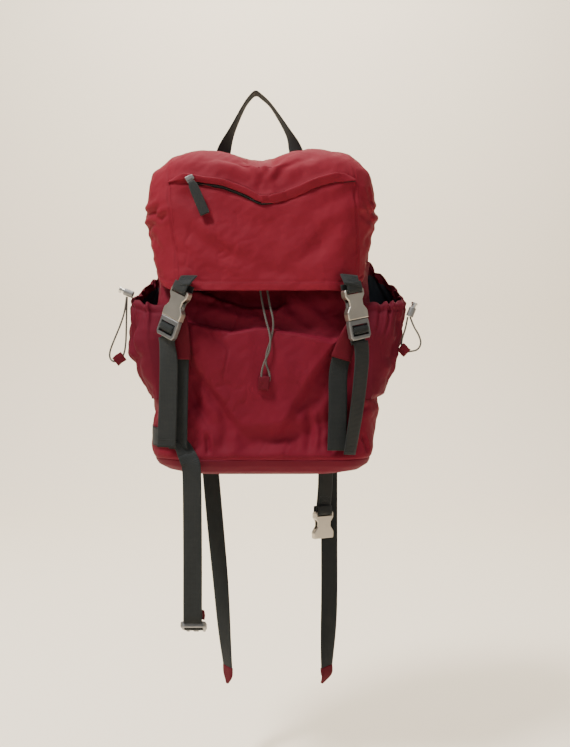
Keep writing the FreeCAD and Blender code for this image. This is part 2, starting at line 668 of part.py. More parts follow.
def main():
    fill_sheet()
    pieces = [make_main_bag(), make_bottom_panel(), make_collar(), make_back_panel(), make_back_foam(),
              make_lid(), make_side_pocket("left_pocket", "bag_left", -1, "left_bulge"),
              make_side_pocket("right_pocket", "bag_right", 1, "right_bulge"), make_grab_loop(), make_hip_wrap()]
    pieces += make_straps()
    pieces += make_lid_buckles()
    pieces += make_hip_buckle()
    pieces += make_shoulder_gear("left", -1)
    pieces += make_shoulder_gear("right", 1)
    pieces += [make_zip_tape(), make_zip_slider(), make_zip_pull(), make_hip_tip()]
    pieces += [make_cord("collar_drawcord", CENTRE_CORD), make_cord("left_pocket_cord", LEFT_CORD),
               make_cord("right_pocket_cord", RIGHT_CORD)]
    pieces += [make_tab("collar_cord_tab", (15.5, -147.2, -428), 16, 18, 0),
               make_tab("left_cord_tab", (-191, -96, -399), 16, 14, -40),
               make_tab("right_cord_tab", (216, -96.3, -386), 15, 14, 0)]
    pieces += make_cord_lock("collar_cord_lock", "collar_lock_plunger", (15, -103, -253), (1, 0, 0))
    pieces += make_cord_lock("left_cord_lock", "left_lock_plunger", (-168.5, -92, -313), (-1, 0, 0.4))
    pieces += make_cord_lock("right_cord_lock", "right_lock_plunger", (218, -92, -343), (0.4, 0, 1))
    check_and_write(pieces)


main()
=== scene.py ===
import json
import math

import bmesh
import bpy
import numpy as np
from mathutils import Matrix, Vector, kdtree


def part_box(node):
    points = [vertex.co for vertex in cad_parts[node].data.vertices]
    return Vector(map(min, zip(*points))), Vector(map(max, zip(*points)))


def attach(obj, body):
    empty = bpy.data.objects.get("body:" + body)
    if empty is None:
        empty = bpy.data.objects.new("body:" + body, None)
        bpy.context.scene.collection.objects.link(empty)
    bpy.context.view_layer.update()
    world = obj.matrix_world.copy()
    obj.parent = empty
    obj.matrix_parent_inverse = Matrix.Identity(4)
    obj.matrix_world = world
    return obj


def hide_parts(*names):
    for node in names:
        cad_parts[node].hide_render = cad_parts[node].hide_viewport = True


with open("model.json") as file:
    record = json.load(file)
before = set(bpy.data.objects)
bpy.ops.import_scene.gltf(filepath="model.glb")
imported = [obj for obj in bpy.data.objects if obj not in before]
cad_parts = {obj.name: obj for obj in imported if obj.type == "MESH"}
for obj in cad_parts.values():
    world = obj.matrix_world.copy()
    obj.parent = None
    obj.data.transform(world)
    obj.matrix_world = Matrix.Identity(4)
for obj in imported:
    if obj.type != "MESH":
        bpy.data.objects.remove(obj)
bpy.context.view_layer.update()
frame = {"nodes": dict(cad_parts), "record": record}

MM = 0.001  # shapes are worked out in millimetres and made in metres
BAG_MIDDLE_X = 14.0


# ---------------------------------------------------------------- camera

def set_camera():
    data = bpy.data.cameras.new("view")
    data.sensor_width = 36.0
    data.lens = 39.13
    camera = bpy.data.objects.new("view", data)
    camera.location = (0.044, -1.227, -0.423)
    camera.rotation_euler = (math.radians(90), 0, 0)
    bpy.context.collection.objects.link(camera)
    bpy.context.scene.camera = camera


set_camera()


# ---------------------------------------------------------------- materials

class Signal:
    """A socket that adds Math nodes when it is used in an expression."""

    def __init__(self, finish, socket):
        self.finish = finish
        self.socket = socket

    def _math(self, operation, first, second):
        return self.finish.node("ShaderNodeMath", {"operation": operation}, {0: first, 1: second})[0]

    def __add__(self, other):
        return self._math("ADD", self, other)

    def __radd__(self, other):
        return self._math("ADD", other, self)

    def __mul__(self, other):
        return self._math("MULTIPLY", self, other)

    def __rmul__(self, other):
        return self._math("MULTIPLY", other, self)


class Finish:
    """One material: its Principled shader and the nodes that feed it."""

    def __init__(self, name, color, roughness, **constants):
        self.material = bpy.data.materials.new(name)
        self.material.use_nodes = True
        self.tree = self.material.node_tree
        self.shader = self.tree.nodes["Principled BSDF"]
        self.shader.inputs["Base Color"].default_value = (*color, 1)
        self.shader.inputs["Roughness"].default_value = roughness
        for words, value in constants.items():
            self.shader.inputs[words.replace("_", " ").title().replace("Ior", "IOR")].default_value = value

    def node(self, kind, settings=None, sockets=None):
        made = self.tree.nodes.new(kind)
        for key, value in (settings or {}).items():
            setattr(made, key, value)
        for key, value in (sockets or {}).items():
            self.feed(made.inputs[key], value)
        return [Signal(self, socket) for socket in made.outputs]

    def feed(self, socket, value):
        if isinstance(value, Signal):
            self.tree.links.new(value.socket, socket)
        else:
            socket.default_value = value

    def mix(self, factor, first, second):
        """Colour mix of two colours or colour signals."""
        made = self.tree.nodes.new("ShaderNodeMix")
        made.data_type = "RGBA"
        for place, value in ((0, factor), (6, first), (7, second)):
            self.feed(made.inputs[place], value)
        return Signal(self, made.outputs[2])

    def noise(self, place, scale, detail):
        return self.node("ShaderNodeTexNoise", {}, {"Vector": place, "Scale": scale, "Detail": detail})[0]

    def waves(self, place, direction, scale, distortion, detail=2.0):
        settings = {"wave_type": "BANDS", "bands_direction": direction}
        sockets = {"Vector": place, "Scale": scale, "Distortion": distortion, "Detail": detail}
        return self.node("ShaderNodeTexWave", settings, sockets)[1]

    def bump(self, height, strength, distance, under=None):
        sockets = {"Height": height, "Strength": strength, "Distance": distance}
        if under:
            sockets["Normal"] = under
        return self.node("ShaderNodeBump", {}, sockets)[0]

    def set(self, name, value):
        self.feed(self.shader.inputs[name], value)


def nylon(name, light, dark, sheen=0.08):
    """Thin woven nylon: soft mottling, fine crumple and a plain weave."""
    finish = Finish(name, light, 0.7, sheen_weight=sheen, sheen_roughness=0.5, sheen_tint=(*light, 1),
                    specular_ior_level=0.10)
    place = finish.node("ShaderNodeTexCoord")[3]
    patches = finish.noise(place, 14.0, 4.0)
    specks = finish.noise(place, 900.0, 2.0)
    tone = finish.mix(patches * 0.75 + specks * 0.2, (*dark, 1), (*light, 1))
    finish.set("Base Color", tone)
    finish.set("Roughness", patches * 0.14 + 0.62)
    crumple = finish.noise(place, 55.0, 4.0)
    weave = finish.waves(place, "Z", 420.0, 0.4)
    weft = finish.waves(place, "X", 420.0, 0.4)
    soft = finish.bump(crumple, 0.35, 0.0022)
    finish.set("Normal", finish.bump(weave + weft, 0.22, 0.0004, soft))
    return finish.material


def webbing(name, light, dark):
    """Ribbed polyester webbing; its ribs follow the strap's own length."""
    finish = Finish(name, light, 0.8, sheen_weight=0.05, sheen_roughness=0.5, specular_ior_level=0.16)
    run = finish.node("ShaderNodeTexCoord")[2]
    ribs = finish.waves(run, "X", 190.0, 0.6, 1.0)
    cords = finish.waves(run, "Y", 150.0, 0.3)
    fuzz = finish.noise(run, 700.0, 2.0)
    broad = finish.noise(run, 30.0, 3.0)
    tone = finish.mix(ribs * 0.45 + fuzz * 0.3 + broad * 0.3, (*dark, 1), (*light, 1))
    finish.set("Base Color", tone)
    finish.set("Normal", finish.bump(ribs + cords * 0.5 + fuzz * 0.4, 0.55, 0.0006))
    return finish.material


def metal(name, color, roughness):
    """Cast metal with fine grain and cloudy patches that are a quarter darker."""
    finish = Finish(name, color, roughness, metallic=1.0)
    place = finish.node("ShaderNodeTexCoord")[3]
    cloud = finish.noise(place, 60.0, 4.0)
    grain = finish.noise(place, 1500.0, 2.0)
    worn = tuple(c * 0.75 for c in color)
    finish.set("Base Color", finish.mix(cloud, (*worn, 1), (*color, 1)))
    finish.set("Roughness", cloud * 0.14 + grain * 0.1 + (roughness - 0.1))
    finish.set("Normal", finish.bump(grain, 0.12, 0.0002))
    return finish.material


def braid(name, light, dark):
    """Braided cord sheath: fine crossing strands."""
    finish = Finish(name, light, 0.8, sheen_weight=0.15)
    place = finish.node("ShaderNodeTexCoord")[3]
    strands = finish.waves(place, "DIAGONAL", 260.0, 1.0)
    fuzz = finish.noise(place, 1200.0, 2.0)
    finish.set("Base Color", finish.mix(strands * 0.6 + fuzz * 0.4, (*dark, 1), (*light, 1)))
    finish.set("Normal", finish.bump(strands + fuzz * 0.3, 0.5, 0.0005))
    return finish.material


RED = nylon("crimson_nylon", (0.198, 0.0124, 0.0248), (0.140, 0.0078, 0.0169))
# Painted shade: a copy of the crimson nylon about a fifth darker, for the bag body, the shoulder pads and the
# lid's inner side
RED_IN_SHADE = nylon("crimson_nylon_painted_shade", (0.157, 0.0084, 0.0215), (0.104, 0.0054, 0.0148))
# Painted shade: a copy of the crimson nylon at about six tenths of its brightness, for the side pockets and the
# base
RED_DEEPER_SHADE = nylon("crimson_nylon_deeper_painted_shade", (0.117, 0.0074, 0.0190), (0.078, 0.0048, 0.0133))
RED_SLEEVE = nylon("crimson_sleeve", (0.105, 0.0066, 0.0150), (0.064, 0.0040, 0.0095))
RED_BINDING = nylon("crimson_binding", (0.105, 0.0068, 0.0150), (0.065, 0.0042, 0.0098))
LINING = nylon("blue_grey_lining", (0.035, 0.043, 0.052), (0.02, 0.026, 0.033), 0.1)
MESH_PAD = nylon("spacer_mesh", (0.045, 0.045, 0.048), (0.022, 0.022, 0.024), 0.3)
WEBBING = webbing("grey_webbing", (0.0268, 0.0295, 0.0298), (0.0106, 0.0124, 0.0126))
WEBBING_DARK = webbing("dark_webbing", (0.0200, 0.0228, 0.0232), (0.0078, 0.0096, 0.0099))
NICKEL = metal("satin_nickel", (0.54, 0.495, 0.43), 0.36)
DARK_NICKEL = metal("dull_nickel", (0.25, 0.25, 0.25), 0.46)
TEETH_METAL = metal("zip_teeth_metal", (0.09, 0.09, 0.09), 0.4)
SILVER = metal("bright_metal", (0.66, 0.65, 0.62), 0.22)
CORD = braid("braided_cord", (0.10, 0.089, 0.08), (0.042, 0.037, 0.033))
ZIP_BLACK = webbing("zip_tape_weave", (0.010, 0.010, 0.011), (0.004, 0.004, 0.005))
THREAD = nylon("crimson_thread", (0.15, 0.0085, 0.0175), (0.10, 0.0056, 0.0120), 0.1)
THREAD_DARK = nylon("grey_thread", (0.05, 0.054, 0.052), (0.026, 0.028, 0.028), 0.1)


# ---------------------------------------------------------------- numbers to shapes

def ease(low, high, value):
    """0 below low, 1 above high, smooth between."""
    t = np.clip((value - low) / (high - low), 0, 1)
    return t * t * (3 - 2 * t)


def ripple(a, b, wavelength, seed, count=7):
    """Smooth uneven noise between about -1 and 1 over two coordinates."""
    dice = np.random.RandomState(seed)
    total = np.zeros_like(a)
    for _ in range(count):
        heading = dice.uniform(0, 2 * math.pi)
        wave = wavelength * dice.uniform(0.6, 1.7)
        shift = dice.uniform(0, 2 * math.pi)
        bend = 0.9 * np.sin((a * math.sin(heading) - b * math.cos(heading)) / wave * 2.3 + shift * 1.7)
        total += np.sin((a * math.cos(heading) + b * math.sin(heading)) / wave * 2 * math.pi + shift + bend)
    return total / math.sqrt(count)


def crinkle(a, b, wavelength, seed):
    """Fine crossing creases, deepest where a broader noise gathers them."""
    lines = ripple(a, b, wavelength, seed) + 0.25 * ripple(a, b, wavelength * 0.35, seed + 1)
    gathered = ease(-0.2, 1.3, ripple(a, b, wavelength * 2.6, seed + 2))
    return -np.exp(-(lines / 0.16) ** 2) * gathered


def route_distance(a, b, route):
    """Signed distance of each point from a route, and how far along the route it lies (0 to 1)."""
    best = np.full(a.shape, 1e9)
    signed = np.zeros_like(a)
    along = np.zeros_like(a)
    route = np.array(route, float)
    lengths = np.hypot(*np.diff(route, axis=0).T)
    done = np.concatenate([[0], np.cumsum(lengths)]) / lengths.sum()
    for i in range(len(route) - 1):
        (x0, z0), (x1, z1) = route[i], route[i + 1]
        dx, dz = x1 - x0, z1 - z0
        t = np.clip(((a - x0) * dx + (b - z0) * dz) / (dx * dx + dz * dz), 0, 1)
        off_x, off_z = a - (x0 + t * dx), b - (z0 + t * dz)
        distance = np.hypot(off_x, off_z)
        nearer = distance < best
        best = np.where(nearer, distance, best)
        signed = np.where(nearer, np.sign(dx * off_z - dz * off_x) * distance, signed)
        along = np.where(nearer, done[i] + t * (done[i + 1] - done[i]), along)
    return signed, along


def groove(a, b, route, depth, width):
    """A pinched crease: a valley with a soft shoulder each side, fading at its ends."""
    signed, along = route_distance(a, b, route)
    fade = np.clip(4 * np.minimum(along, 1 - along) + 0.15, 0, 1)
    reach = np.abs(signed) / width
    return fade * depth * (0.45 * np.exp(-(reach - 1.9) ** 2) - np.exp(-reach ** 2))


def plan_ring(left, right, front, back, front_round, back_round, count):
    """Plan outline from the back's middle round the left, front and right, evenly spaced."""
    corners = [(left + back_round, back - back_round, back_round, 90, 180),
               (left + front_round, front + front_round, front_round, 180, 270),
               (right - front_round, front + front_round, front_round, 270, 360),
               (right - back_round, back - back_round, back_round, 0, 90)]
    points = [((left + right) / 2, back)]
    for cx, cy, radius, start, stop in corners:
        for angle in np.radians(np.linspace(start, stop, 24)):
            points.append((cx + radius * math.cos(angle), cy + radius * math.sin(angle)))
    points.append(points[0])
    points = np.array(points)
    steps = run_lengths(points)
    wanted = np.linspace(0, steps[-1], count, endpoint=False)
    return np.stack([np.interp(wanted, steps, points[:, k]) for k in (0, 1)], axis=1), steps[-1]


def level_ring(z, columns, *outline):
    """A plan outline at height z, and how far round from the front's middle each of its places is."""
    ring, length = plan_ring(*outline, columns)
    return np.column_stack([ring, np.full(columns, z)]), (np.arange(columns) / columns - 0.5) * length


def grid_normals(points, closed):
    """Outward normals of a grid of rows going up and columns going round from the left."""
    if closed:
        round_way = np.roll(points, -1, axis=1) - np.roll(points, 1, axis=1)
    else:
        round_way = np.gradient(points, axis=1)
    normals = np.cross(round_way, np.gradient(points, axis=0))
    return normals / np.maximum(np.linalg.norm(normals, axis=2, keepdims=True), 1e-9)


def run_lengths(points):
    """How far along a line of points each of them lies."""
    return np.concatenate([[0], np.cumsum(np.linalg.norm(np.diff(points, axis=0), axis=1))])


def unit(vectors):
    return vectors / np.linalg.norm(vectors, axis=-1, keepdims=True)


def spline(stations, step):
    """Smooth curve through stations (Catmull-Rom), sampled about every step."""
    stations = np.array(stations, float)
    ends = [2 * stations[0] - stations[1], *stations, 2 * stations[-1] - stations[-2]]
    out = []
    for i in range(1, len(ends) - 2):
        p0, p1, p2, p3 = ends[i - 1], ends[i], ends[i + 1], ends[i + 2]
        count = max(2, int(np.linalg.norm((p2 - p1)[:3]) / step))
        for t in np.arange(count) / count:
            out.append(0.5 * (2 * p1 + (p2 - p0) * t + (2 * p0 - 5 * p1 + 4 * p2 - p3) * t ** 2
                              + (3 * p1 - p0 - 3 * p2 + p3) * t ** 3))
    out.append(ends[-2])
    return np.array(out)


# ---------------------------------------------------------------- meshes

def new_piece(name, verts, faces, material, body, replaced=(), uvs=None):
    mesh = bpy.data.meshes.new(name)
    mesh.from_pydata((np.asarray(verts) * MM).tolist(), [], [list(map(int, f)) for f in faces])
    mesh.update()
    if uvs is not None:
        layer = mesh.uv_layers.new(name="run")
        for loop in mesh.loops:
            layer.data[loop.index].uv = uvs[loop.vertex_index]
    for polygon in mesh.polygons:
        polygon.use_smooth = True
    piece = bpy.data.objects.new(name, mesh)
    bpy.context.collection.objects.link(piece)
    for finish in (material if isinstance(material, (list, tuple)) else [material]):
        mesh.materials.append(finish)
    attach(piece, body)
    if replaced:
        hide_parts(*replaced)
    return piece


def grid_faces(rows, columns, closed, keep=None):
    faces = []
    last = columns if closed else columns - 1
    for r in range(rows - 1):
        for c in range(last):
            d = (c + 1) % columns
            if keep is None or (keep[r, c] and keep[r + 1, c] and keep[r, d] and keep[r + 1, d]):
                faces.append((r * columns + c, r * columns + d, (r + 1) * columns + d, (r + 1) * columns + c))
    return faces


def back_to_back(rows, columns):
    """Faces of two matching open grids, one behind the other, closed round their border."""
    count = rows * columns
    front = grid_faces(rows, columns, False)
    grid = np.arange(count).reshape(rows, columns)
    border = [*grid[:, 0], *grid[-1, 1:], *grid[-2::-1, -1], *grid[0, -2:0:-1]]
    rear = [tuple(i + count for i in f[::-1]) for f in front]
    return front + rear + [(b, a, a + count, b + count) for a, b in zip(border, border[1:] + border[:1])]


def section_rim(low, high, count):
    """Places round a flat section: across its front from low to high, then back behind it."""
    across = np.linspace(low, high, count)
    return [(u, 1) for u in across] + [(u, -1) for u in across[::-1]]


def band_piece(name, verts, uvs, around, material, body, replaced=()):
    """A closed band from its rings of points, with both ends capped."""
    rings = len(verts) // around
    faces = grid_faces(rings, around, True)
    faces.append(list(range(around))[::-1])
    faces.append([(rings - 1) * around + k for k in range(around)])
    piece = new_piece(name, verts, faces, material, body, replaced, uvs)
    drop_loose(piece)
    return piece


def thicken(piece, thickness):
    """Gives a sheet its cloth thickness, inwards, with its second material on its inner side: the lining, or on
    the lid the red with painted shade.
    """
    modifier = piece.modifiers.new("cloth", "SOLIDIFY")
    modifier.thickness = thickness * MM
    modifier.offset = -1
    modifier.material_offset = 1
    apply_modifiers(piece)


def apply_modifiers(piece):
    bpy.context.view_layer.update()
    shaped = bpy.data.meshes.new_from_object(piece.evaluated_get(bpy.context.evaluated_depsgraph_get()))
    piece.modifiers.clear()
    piece.data = shaped


def drop_loose(piece):
    edit = bmesh.new()
    edit.from_mesh(piece.data)
    bmesh.ops.delete(edit, geom=[v for v in edit.verts if not v.link_faces], context="VERTS")
    bmesh.ops.recalc_face_normals(edit, faces=edit.faces)
    edit.to_mesh(piece.data)
    edit.free()


class Skin:
    """A displaced fabric surface that seams and stitches can be traced on."""

    def __init__(self, points, normals, around, height):
        self.points = points.reshape(-1, 3)
        self.normals = normals.reshape(-1, 3)
        flat = np.stack([around.ravel(), height.ravel()], axis=1)
        self.tree = kdtree.KDTree(len(flat))
        for i, (a, b) in enumerate(flat):
            self.tree.insert((a, b, 0), i)
        self.tree.balance()

    def trace(self, route, step, lift):
        """Points on the surface along a route of (around, height) pairs, with their normals."""
        spots, normals = [], []
        for a, b in spline([(*pair, 0) for pair in route], step)[:, :2]:
            near = self.tree.find_n((a, b, 0), 5)
            weights = np.array([1 / (0.15 + n[2]) for n in near])
            weights /= weights.sum()
            index = [n[1] for n in near]
            normal = unit((self.normals[index] * weights[:, None]).sum(axis=0))
            spots.append((self.points[index] * weights[:, None]).sum(axis=0) + normal * lift)
            normals.append(normal)
        return np.array(spots), np.array(normals)


def even_steps(points, others, pitch):
    """Both lists of places resampled every pitch along the first."""
    steps = run_lengths(points)
    wanted = np.arange(pitch / 2, steps[-1], pitch)
    return [np.stack([np.interp(wanted, steps, data[:, k]) for k in range(3)], axis=1)
            for data in (points, others)]


STITCH_FACES = grid_faces(4, 4, True) + [(3, 2, 1, 0), (12, 13, 14, 15)]


def stitches(name, runs, body, material, pitch=3.3, length=2.3, width=0.55):
    """Rows of thread stitches, each a small rounded bar, as one piece."""
    verts, faces = [], []
    for points, normals in runs:
        spots, ups = even_steps(points, normals, pitch)
        for i in range(len(spots) - 1):
            ahead = unit(spots[min(i + 1, len(spots) - 1)] - spots[max(i - 1, 0)])
            up = unit(ups[i])
            side = np.cross(ahead, up)
            first = len(verts)
            for along, size in ((-0.5, 0.45), (-0.3, 1.0), (0.3, 1.0), (0.5, 0.45)):
                for a, b in ((-1, 0), (0, 1), (1, 0), (0, -1)):
                    verts.append(spots[i] + ahead * along * length + (side * a + up * b) * size * width / 2)
            faces += [tuple(first + k for k in face) for face in STITCH_FACES]
    return new_piece(name, verts, faces, material, body)


def strap(name, stations, body, replaced=(), width=25.0, thick=1.5, material=None, wander=0.35, seed=1,
          crown=0.0, step=3.0):
    """Webbing swept through stations of (x, y, z, turn of its width, its width if it differs)."""
    full = [(*s, width) if len(s) == 4 else s for s in stations]
    track = spline(full, step)
    points = track[:, :3]
    along = unit(np.gradient(points, axis=0))
    turn = np.radians(track[:, 3])
    across = np.stack([np.cos(turn), np.sin(turn), np.zeros_like(turn)], axis=1)
    across = unit(across - along * (across * along).sum(axis=1, keepdims=True))
    normal = np.cross(along, across)
    run = run_lengths(points)
    rim = section_rim(-1, 1, 13)
    verts, uvs = [], []
    for i in range(len(points)):
        wave = wander * math.sin(run[i] / 37.0 + seed) * math.sin(run[i] / run[-1] * math.pi)
        for u, side in rim:
            edge = 1 - abs(u) ** 6 * 0.45
            cup = wander * 0.8 * math.sin(run[i] / 29.0 + seed * 2 + u * 1.3) * u
            lift = side * thick / 2 * edge * (1 + crown * (1 - u * u)) + wave + cup
            verts.append(points[i] + across[i] * u * track[i, 4] / 2 + normal[i] * lift)
            uvs.append((run[i] * MM, u * track[i, 4] / 2 * MM))
    piece = band_piece(name, verts, uvs, len(rim), material or WEBBING, body, replaced)
    return piece, points, across, normal


# ---------------------------------------------------------------- lid

LID_MIDDLE = np.array([11.0, -2.0])
LID_HEM_Z = -313.0
LID_FOLD_Z = -165.0
LID_TOP_Z = -104.0
LID_WALL_ROWS = 84


def lid_widths(z):
    left = np.interp(z, [-313, -292, -263, -235, -213, -202, -191, -154, -129, -118, -104],
                     [-134, -136, -139, -142, -146.5, -151, -149, -142, -134, -124, -104])
    right = np.interp(z, [-313, -292, -263, -245, -215, -202, -189, -171, -141, -120, -110, -104],
                      [155, 158, 161, 163.5, 168.5, 173, 168.5, 169, 162, 154, 143, 124])
    return left, right


def lid_crest(x):
    """Height of the lid's front top edge: humped each side of a dip in the middle."""
    crest = [(-150, -138), (-130, -125), (-114, -115), (-92, -116), (-68, -118), (-46, -121), (-27, -126),
             (-6, -134), (8, -136), (26, -136), (36, -130), (53, -122), (75, -117), (108, -116), (132, -114),
             (146, -118), (160, -131), (172, -146)]
    return np.interp(x, *zip(*crest))


LID_GROOVES = [
    ([(-204, -198), (-180, -204), (-158, -205), (-134, -199)], 5.0, 5.0),
    ([(-190, -219), (-172, -222), (-150, -216)], 2.6, 5.0),
    ([(-160, -206), (-138, -214), (-121, -209)], 2.6, 4.0),
    ([(-176, -232), (-156, -244), (-140, -262)], 2.2, 6.0),
    ([(-110, -178), (-84, -198), (-60, -224)], 1.7, 7.0),
    ([(206, -194), (186, -199), (164, -206), (146, -199)], 5.0, 5.0),
    ([(192, -212), (174, -216), (156, -213), (134, -207)], 3.0, 4.5),
    ([(150, -170), (160, -184), (166, -200)], 2.4, 4.0),
    ([(184, -226), (166, -234), (150, -250)], 2.2, 6.0),
    ([(128, -172), (100, -196), (70, -206)], 1.6, 9.0),
    ([(-70, -200), (-20, -222), (40, -230)], 1.4, 13.0),
    ([(-108, -222), (-70, -254), (-24, -276)], 2.6, 9.0),
    ([(-30, -262), (0, -286), (60, -292)], 1.6, 9.0),
    ([(112, -214), (76, -256), (30, -288)], 2.5, 10.0),
    ([(-6, -134), (2, -158), (-2, -184)], 2.4, 4.5),
    ([(16, -136), (8, -160), (8, -184)], 2.2, 4.5),
    ([(-30, -136), (-12, -158), (0, -176)], 1.8, 6.0),
    ([(44, -134), (26, -158), (10, -176)], 1.8, 6.0),
    ([(-62, -126), (-28, -140), (-4, -148)], 1.8, 7.0),
    ([(84, -122), (50, -138), (22, -148)], 1.8, 7.0),
    ([(-112, -302), (-115, -262), (-119, -232), (-120, -200), (-127, -158), (-131, -138)], 1.5, 1.6),
    ([(137, -302), (136, -262), (130, -214), (128, -180), (129, -136)], 1.5, 1.6),
]

ZIP_LINE = [(-126, -168.5), (-112, -167.5), (-98, -166), (-78, -169.5), (-48, -174.5), (-18, -186),
            (2, -196), (29, -191.5), (54, -182), (74, -172.5), (104, -164), (128, -159)]


def lid_form():
    """Rings of the lid's plain form: its wall, then the crown that closes over its top."""
    columns, crown_rows = 460, 34
    levels = []
    for k in range(LID_WALL_ROWS):
        z = LID_HEM_Z + (LID_FOLD_Z - LID_HEM_Z) * k / (LID_WALL_ROWS - 1)
        levels.append(level_ring(z, columns, *lid_widths(z), -150.5, -2, 62, 4))
    for k in range(1, crown_rows + 1):
        angle = k / crown_rows * math.pi / 2
        z = LID_FOLD_Z + (LID_TOP_Z - LID_FOLD_Z) * math.sin(angle)
        widths = lid_widths(LID_FOLD_Z + (-122 - LID_FOLD_Z) * math.sin(angle))
        ring, rounds = level_ring(z, columns, *widths, -150.5, -2, 62, 4)
        shrink = max(math.cos(angle), 0) ** 0.34
        ring[:, :2] = LID_MIDDLE + (ring[:, :2] - LID_MIDDLE) * shrink
        levels.append((ring, rounds))
    return [np.array(part) for part in zip(*levels)]


def lid_folds(around, heights, normals):
    """How far the lid's cloth stands off its plain form: creases, zip ridge, sag, crumples and hem."""
    lift = np.zeros_like(heights)
    for route, depth, width in LID_GROOVES:
        lift += groove(around, heights, route, depth, width)
    front = np.clip(-normals[..., 1], 0, 1) ** 2
    signed, along = route_distance(around, heights, ZIP_LINE)
    ends = np.clip(8 * np.minimum(along, 1 - along), 0, 1)
    lift += front * ends * 2.6 * np.exp(-((signed - 5) / 5.5) ** 2)
    lift -= front * ends * 2.2 * np.exp(-((signed + 2.5) / 4.0) ** 2)
    lift += 3.0 * np.exp(-((around + 4) / 95) ** 2 - ((heights + 245) / 52) ** 2) * front
    lift += 1.5 * ripple(around, heights, 95, 3) + 0.4 * ripple(around, heights, 34, 5)
    lift += 0.16 * ripple(around, heights * 1.3, 15, 8)
    lift += ease(120, 175, np.abs(around)) * 0.35 * ripple(around, heights, 46, 11)
    lift += 0.9 * crinkle(around, heights * 1.2, 80, 14) + 0.5 * crinkle(around, heights, 34, 18)
    lift += ease(-301, -303.5, heights) - 0.8 * np.exp(-((heights + 301.5) / 1.5) ** 2)
    return lift


def lid_shape():
    points, around = lid_form()
    x, y, heights = np.moveaxis(points.copy(), -1, 0)
    crest = lid_crest(x) + 112
    points[..., 2] += ease(-150, -118, heights) * crest * (0.35 + 0.65 * ease(-30, -115, y))
    skirt = np.clip((-246 - heights) / 67, 0, 1)
    points[..., 2] += skirt * (24 * ease(-149, -96, y) + 40 * ease(-112, -12, y))
    normals = grid_normals(points, True)
    lift = lid_folds(around, heights, normals) * ease(-0.4, -9, y)
    points = points + normals * lift[..., None]
    points[..., 1] = np.minimum(points[..., 1], -1.2)
    return points, grid_normals(points, True), around, heights


def make_lid():
    points, normals, around, heights = lid_shape()
    rows, columns = heights.shape
    behind = (points[..., 1] > -5.0) & (np.abs(points[..., 0] - 14) < 128) & (heights < -122)
    # The lid's inner side takes the red with painted shade
    piece = new_piece("lid_shell", points.reshape(-1, 3), grid_faces(rows, columns, True, ~behind),
                      [RED, RED_IN_SHADE], "lid", ["lid"])
    drop_loose(piece)
    thicken(piece, 1.4)
    skin = Skin(*(part[:LID_WALL_ROWS] for part in (points, normals, around, heights)))
    left_seam, right_seam = LID_GROOVES[-2][0], LID_GROOVES[-1][0]
    runs = [skin.trace([(a, -303.2) for a in np.linspace(-150, 152, 40)], 4, 0.2),
            skin.trace([(a + 3.2, z) for a, z in left_seam[:5]], 4, 0.2),
            skin.trace([(a - 3.2, z) for a, z in right_seam[:4]], 4, 0.2),
            skin.trace([(a, z + 9.5) for a, z in ZIP_LINE], 4, 0.25)]
    stitches("lid_topstitch", runs, "lid", THREAD)
    return skin


def ribbon(name, skin, route, low, high, lift, thick, material, replaced=(), curl=0.0):
    """A band on the lid that follows a route on its skin, from low to high beside it."""
    base, normals = skin.trace(route, 2.5, lift)
    side = unit(np.cross(normals, unit(np.gradient(base, axis=0))))
    verts, uvs = [], []
    rim = section_rim(low, high, 7)
    run = run_lengths(base)
    for i in range(len(base)):
        taper = min(1.0, 0.25 + 6 * min(i, len(base) - 1 - i) / len(base))
        for s, face in rim:
            rise = curl * ((s - low) / (high - low)) ** 2
            verts.append(base[i] + side[i] * s * taper + normals[i] * (face * thick / 2 + rise))
            uvs.append((run[i] * MM, s * MM))
    band_piece(name, verts, uvs, len(rim), material, "lid", replaced)


def make_zip(skin):
    """Zip band in its opening, the flap that hangs over it, and the teeth that show at the gap."""
    ribbon("zip_band", skin, ZIP_LINE[2:], -6.0, 3.0, 0.7, 0.8, ZIP_BLACK, ["zip_tape"])
    ribbon("zip_flap_left", skin, ZIP_LINE[:8], 0.9, 9.0, 2.0, 1.5, RED, curl=-1.9)
    ribbon("zip_flap_right", skin, ZIP_LINE[6:], -3.0, 9.0, 2.1, 1.5, RED, curl=-1.9)
    ribbon("zip_lower_lip", skin, ZIP_LINE[3:9], -8.5, -4.6, 1.2, 1.3, RED)
    points, normals = skin.trace(ZIP_LINE[2:8], 2.5, 1.3)
    stitches("zip_teeth", [(points + np.array([0, 0, -1.6]), normals)], "lid", TEETH_METAL, 1.6, 0.9, 1.8)


# ---------------------------------------------------------------- bag

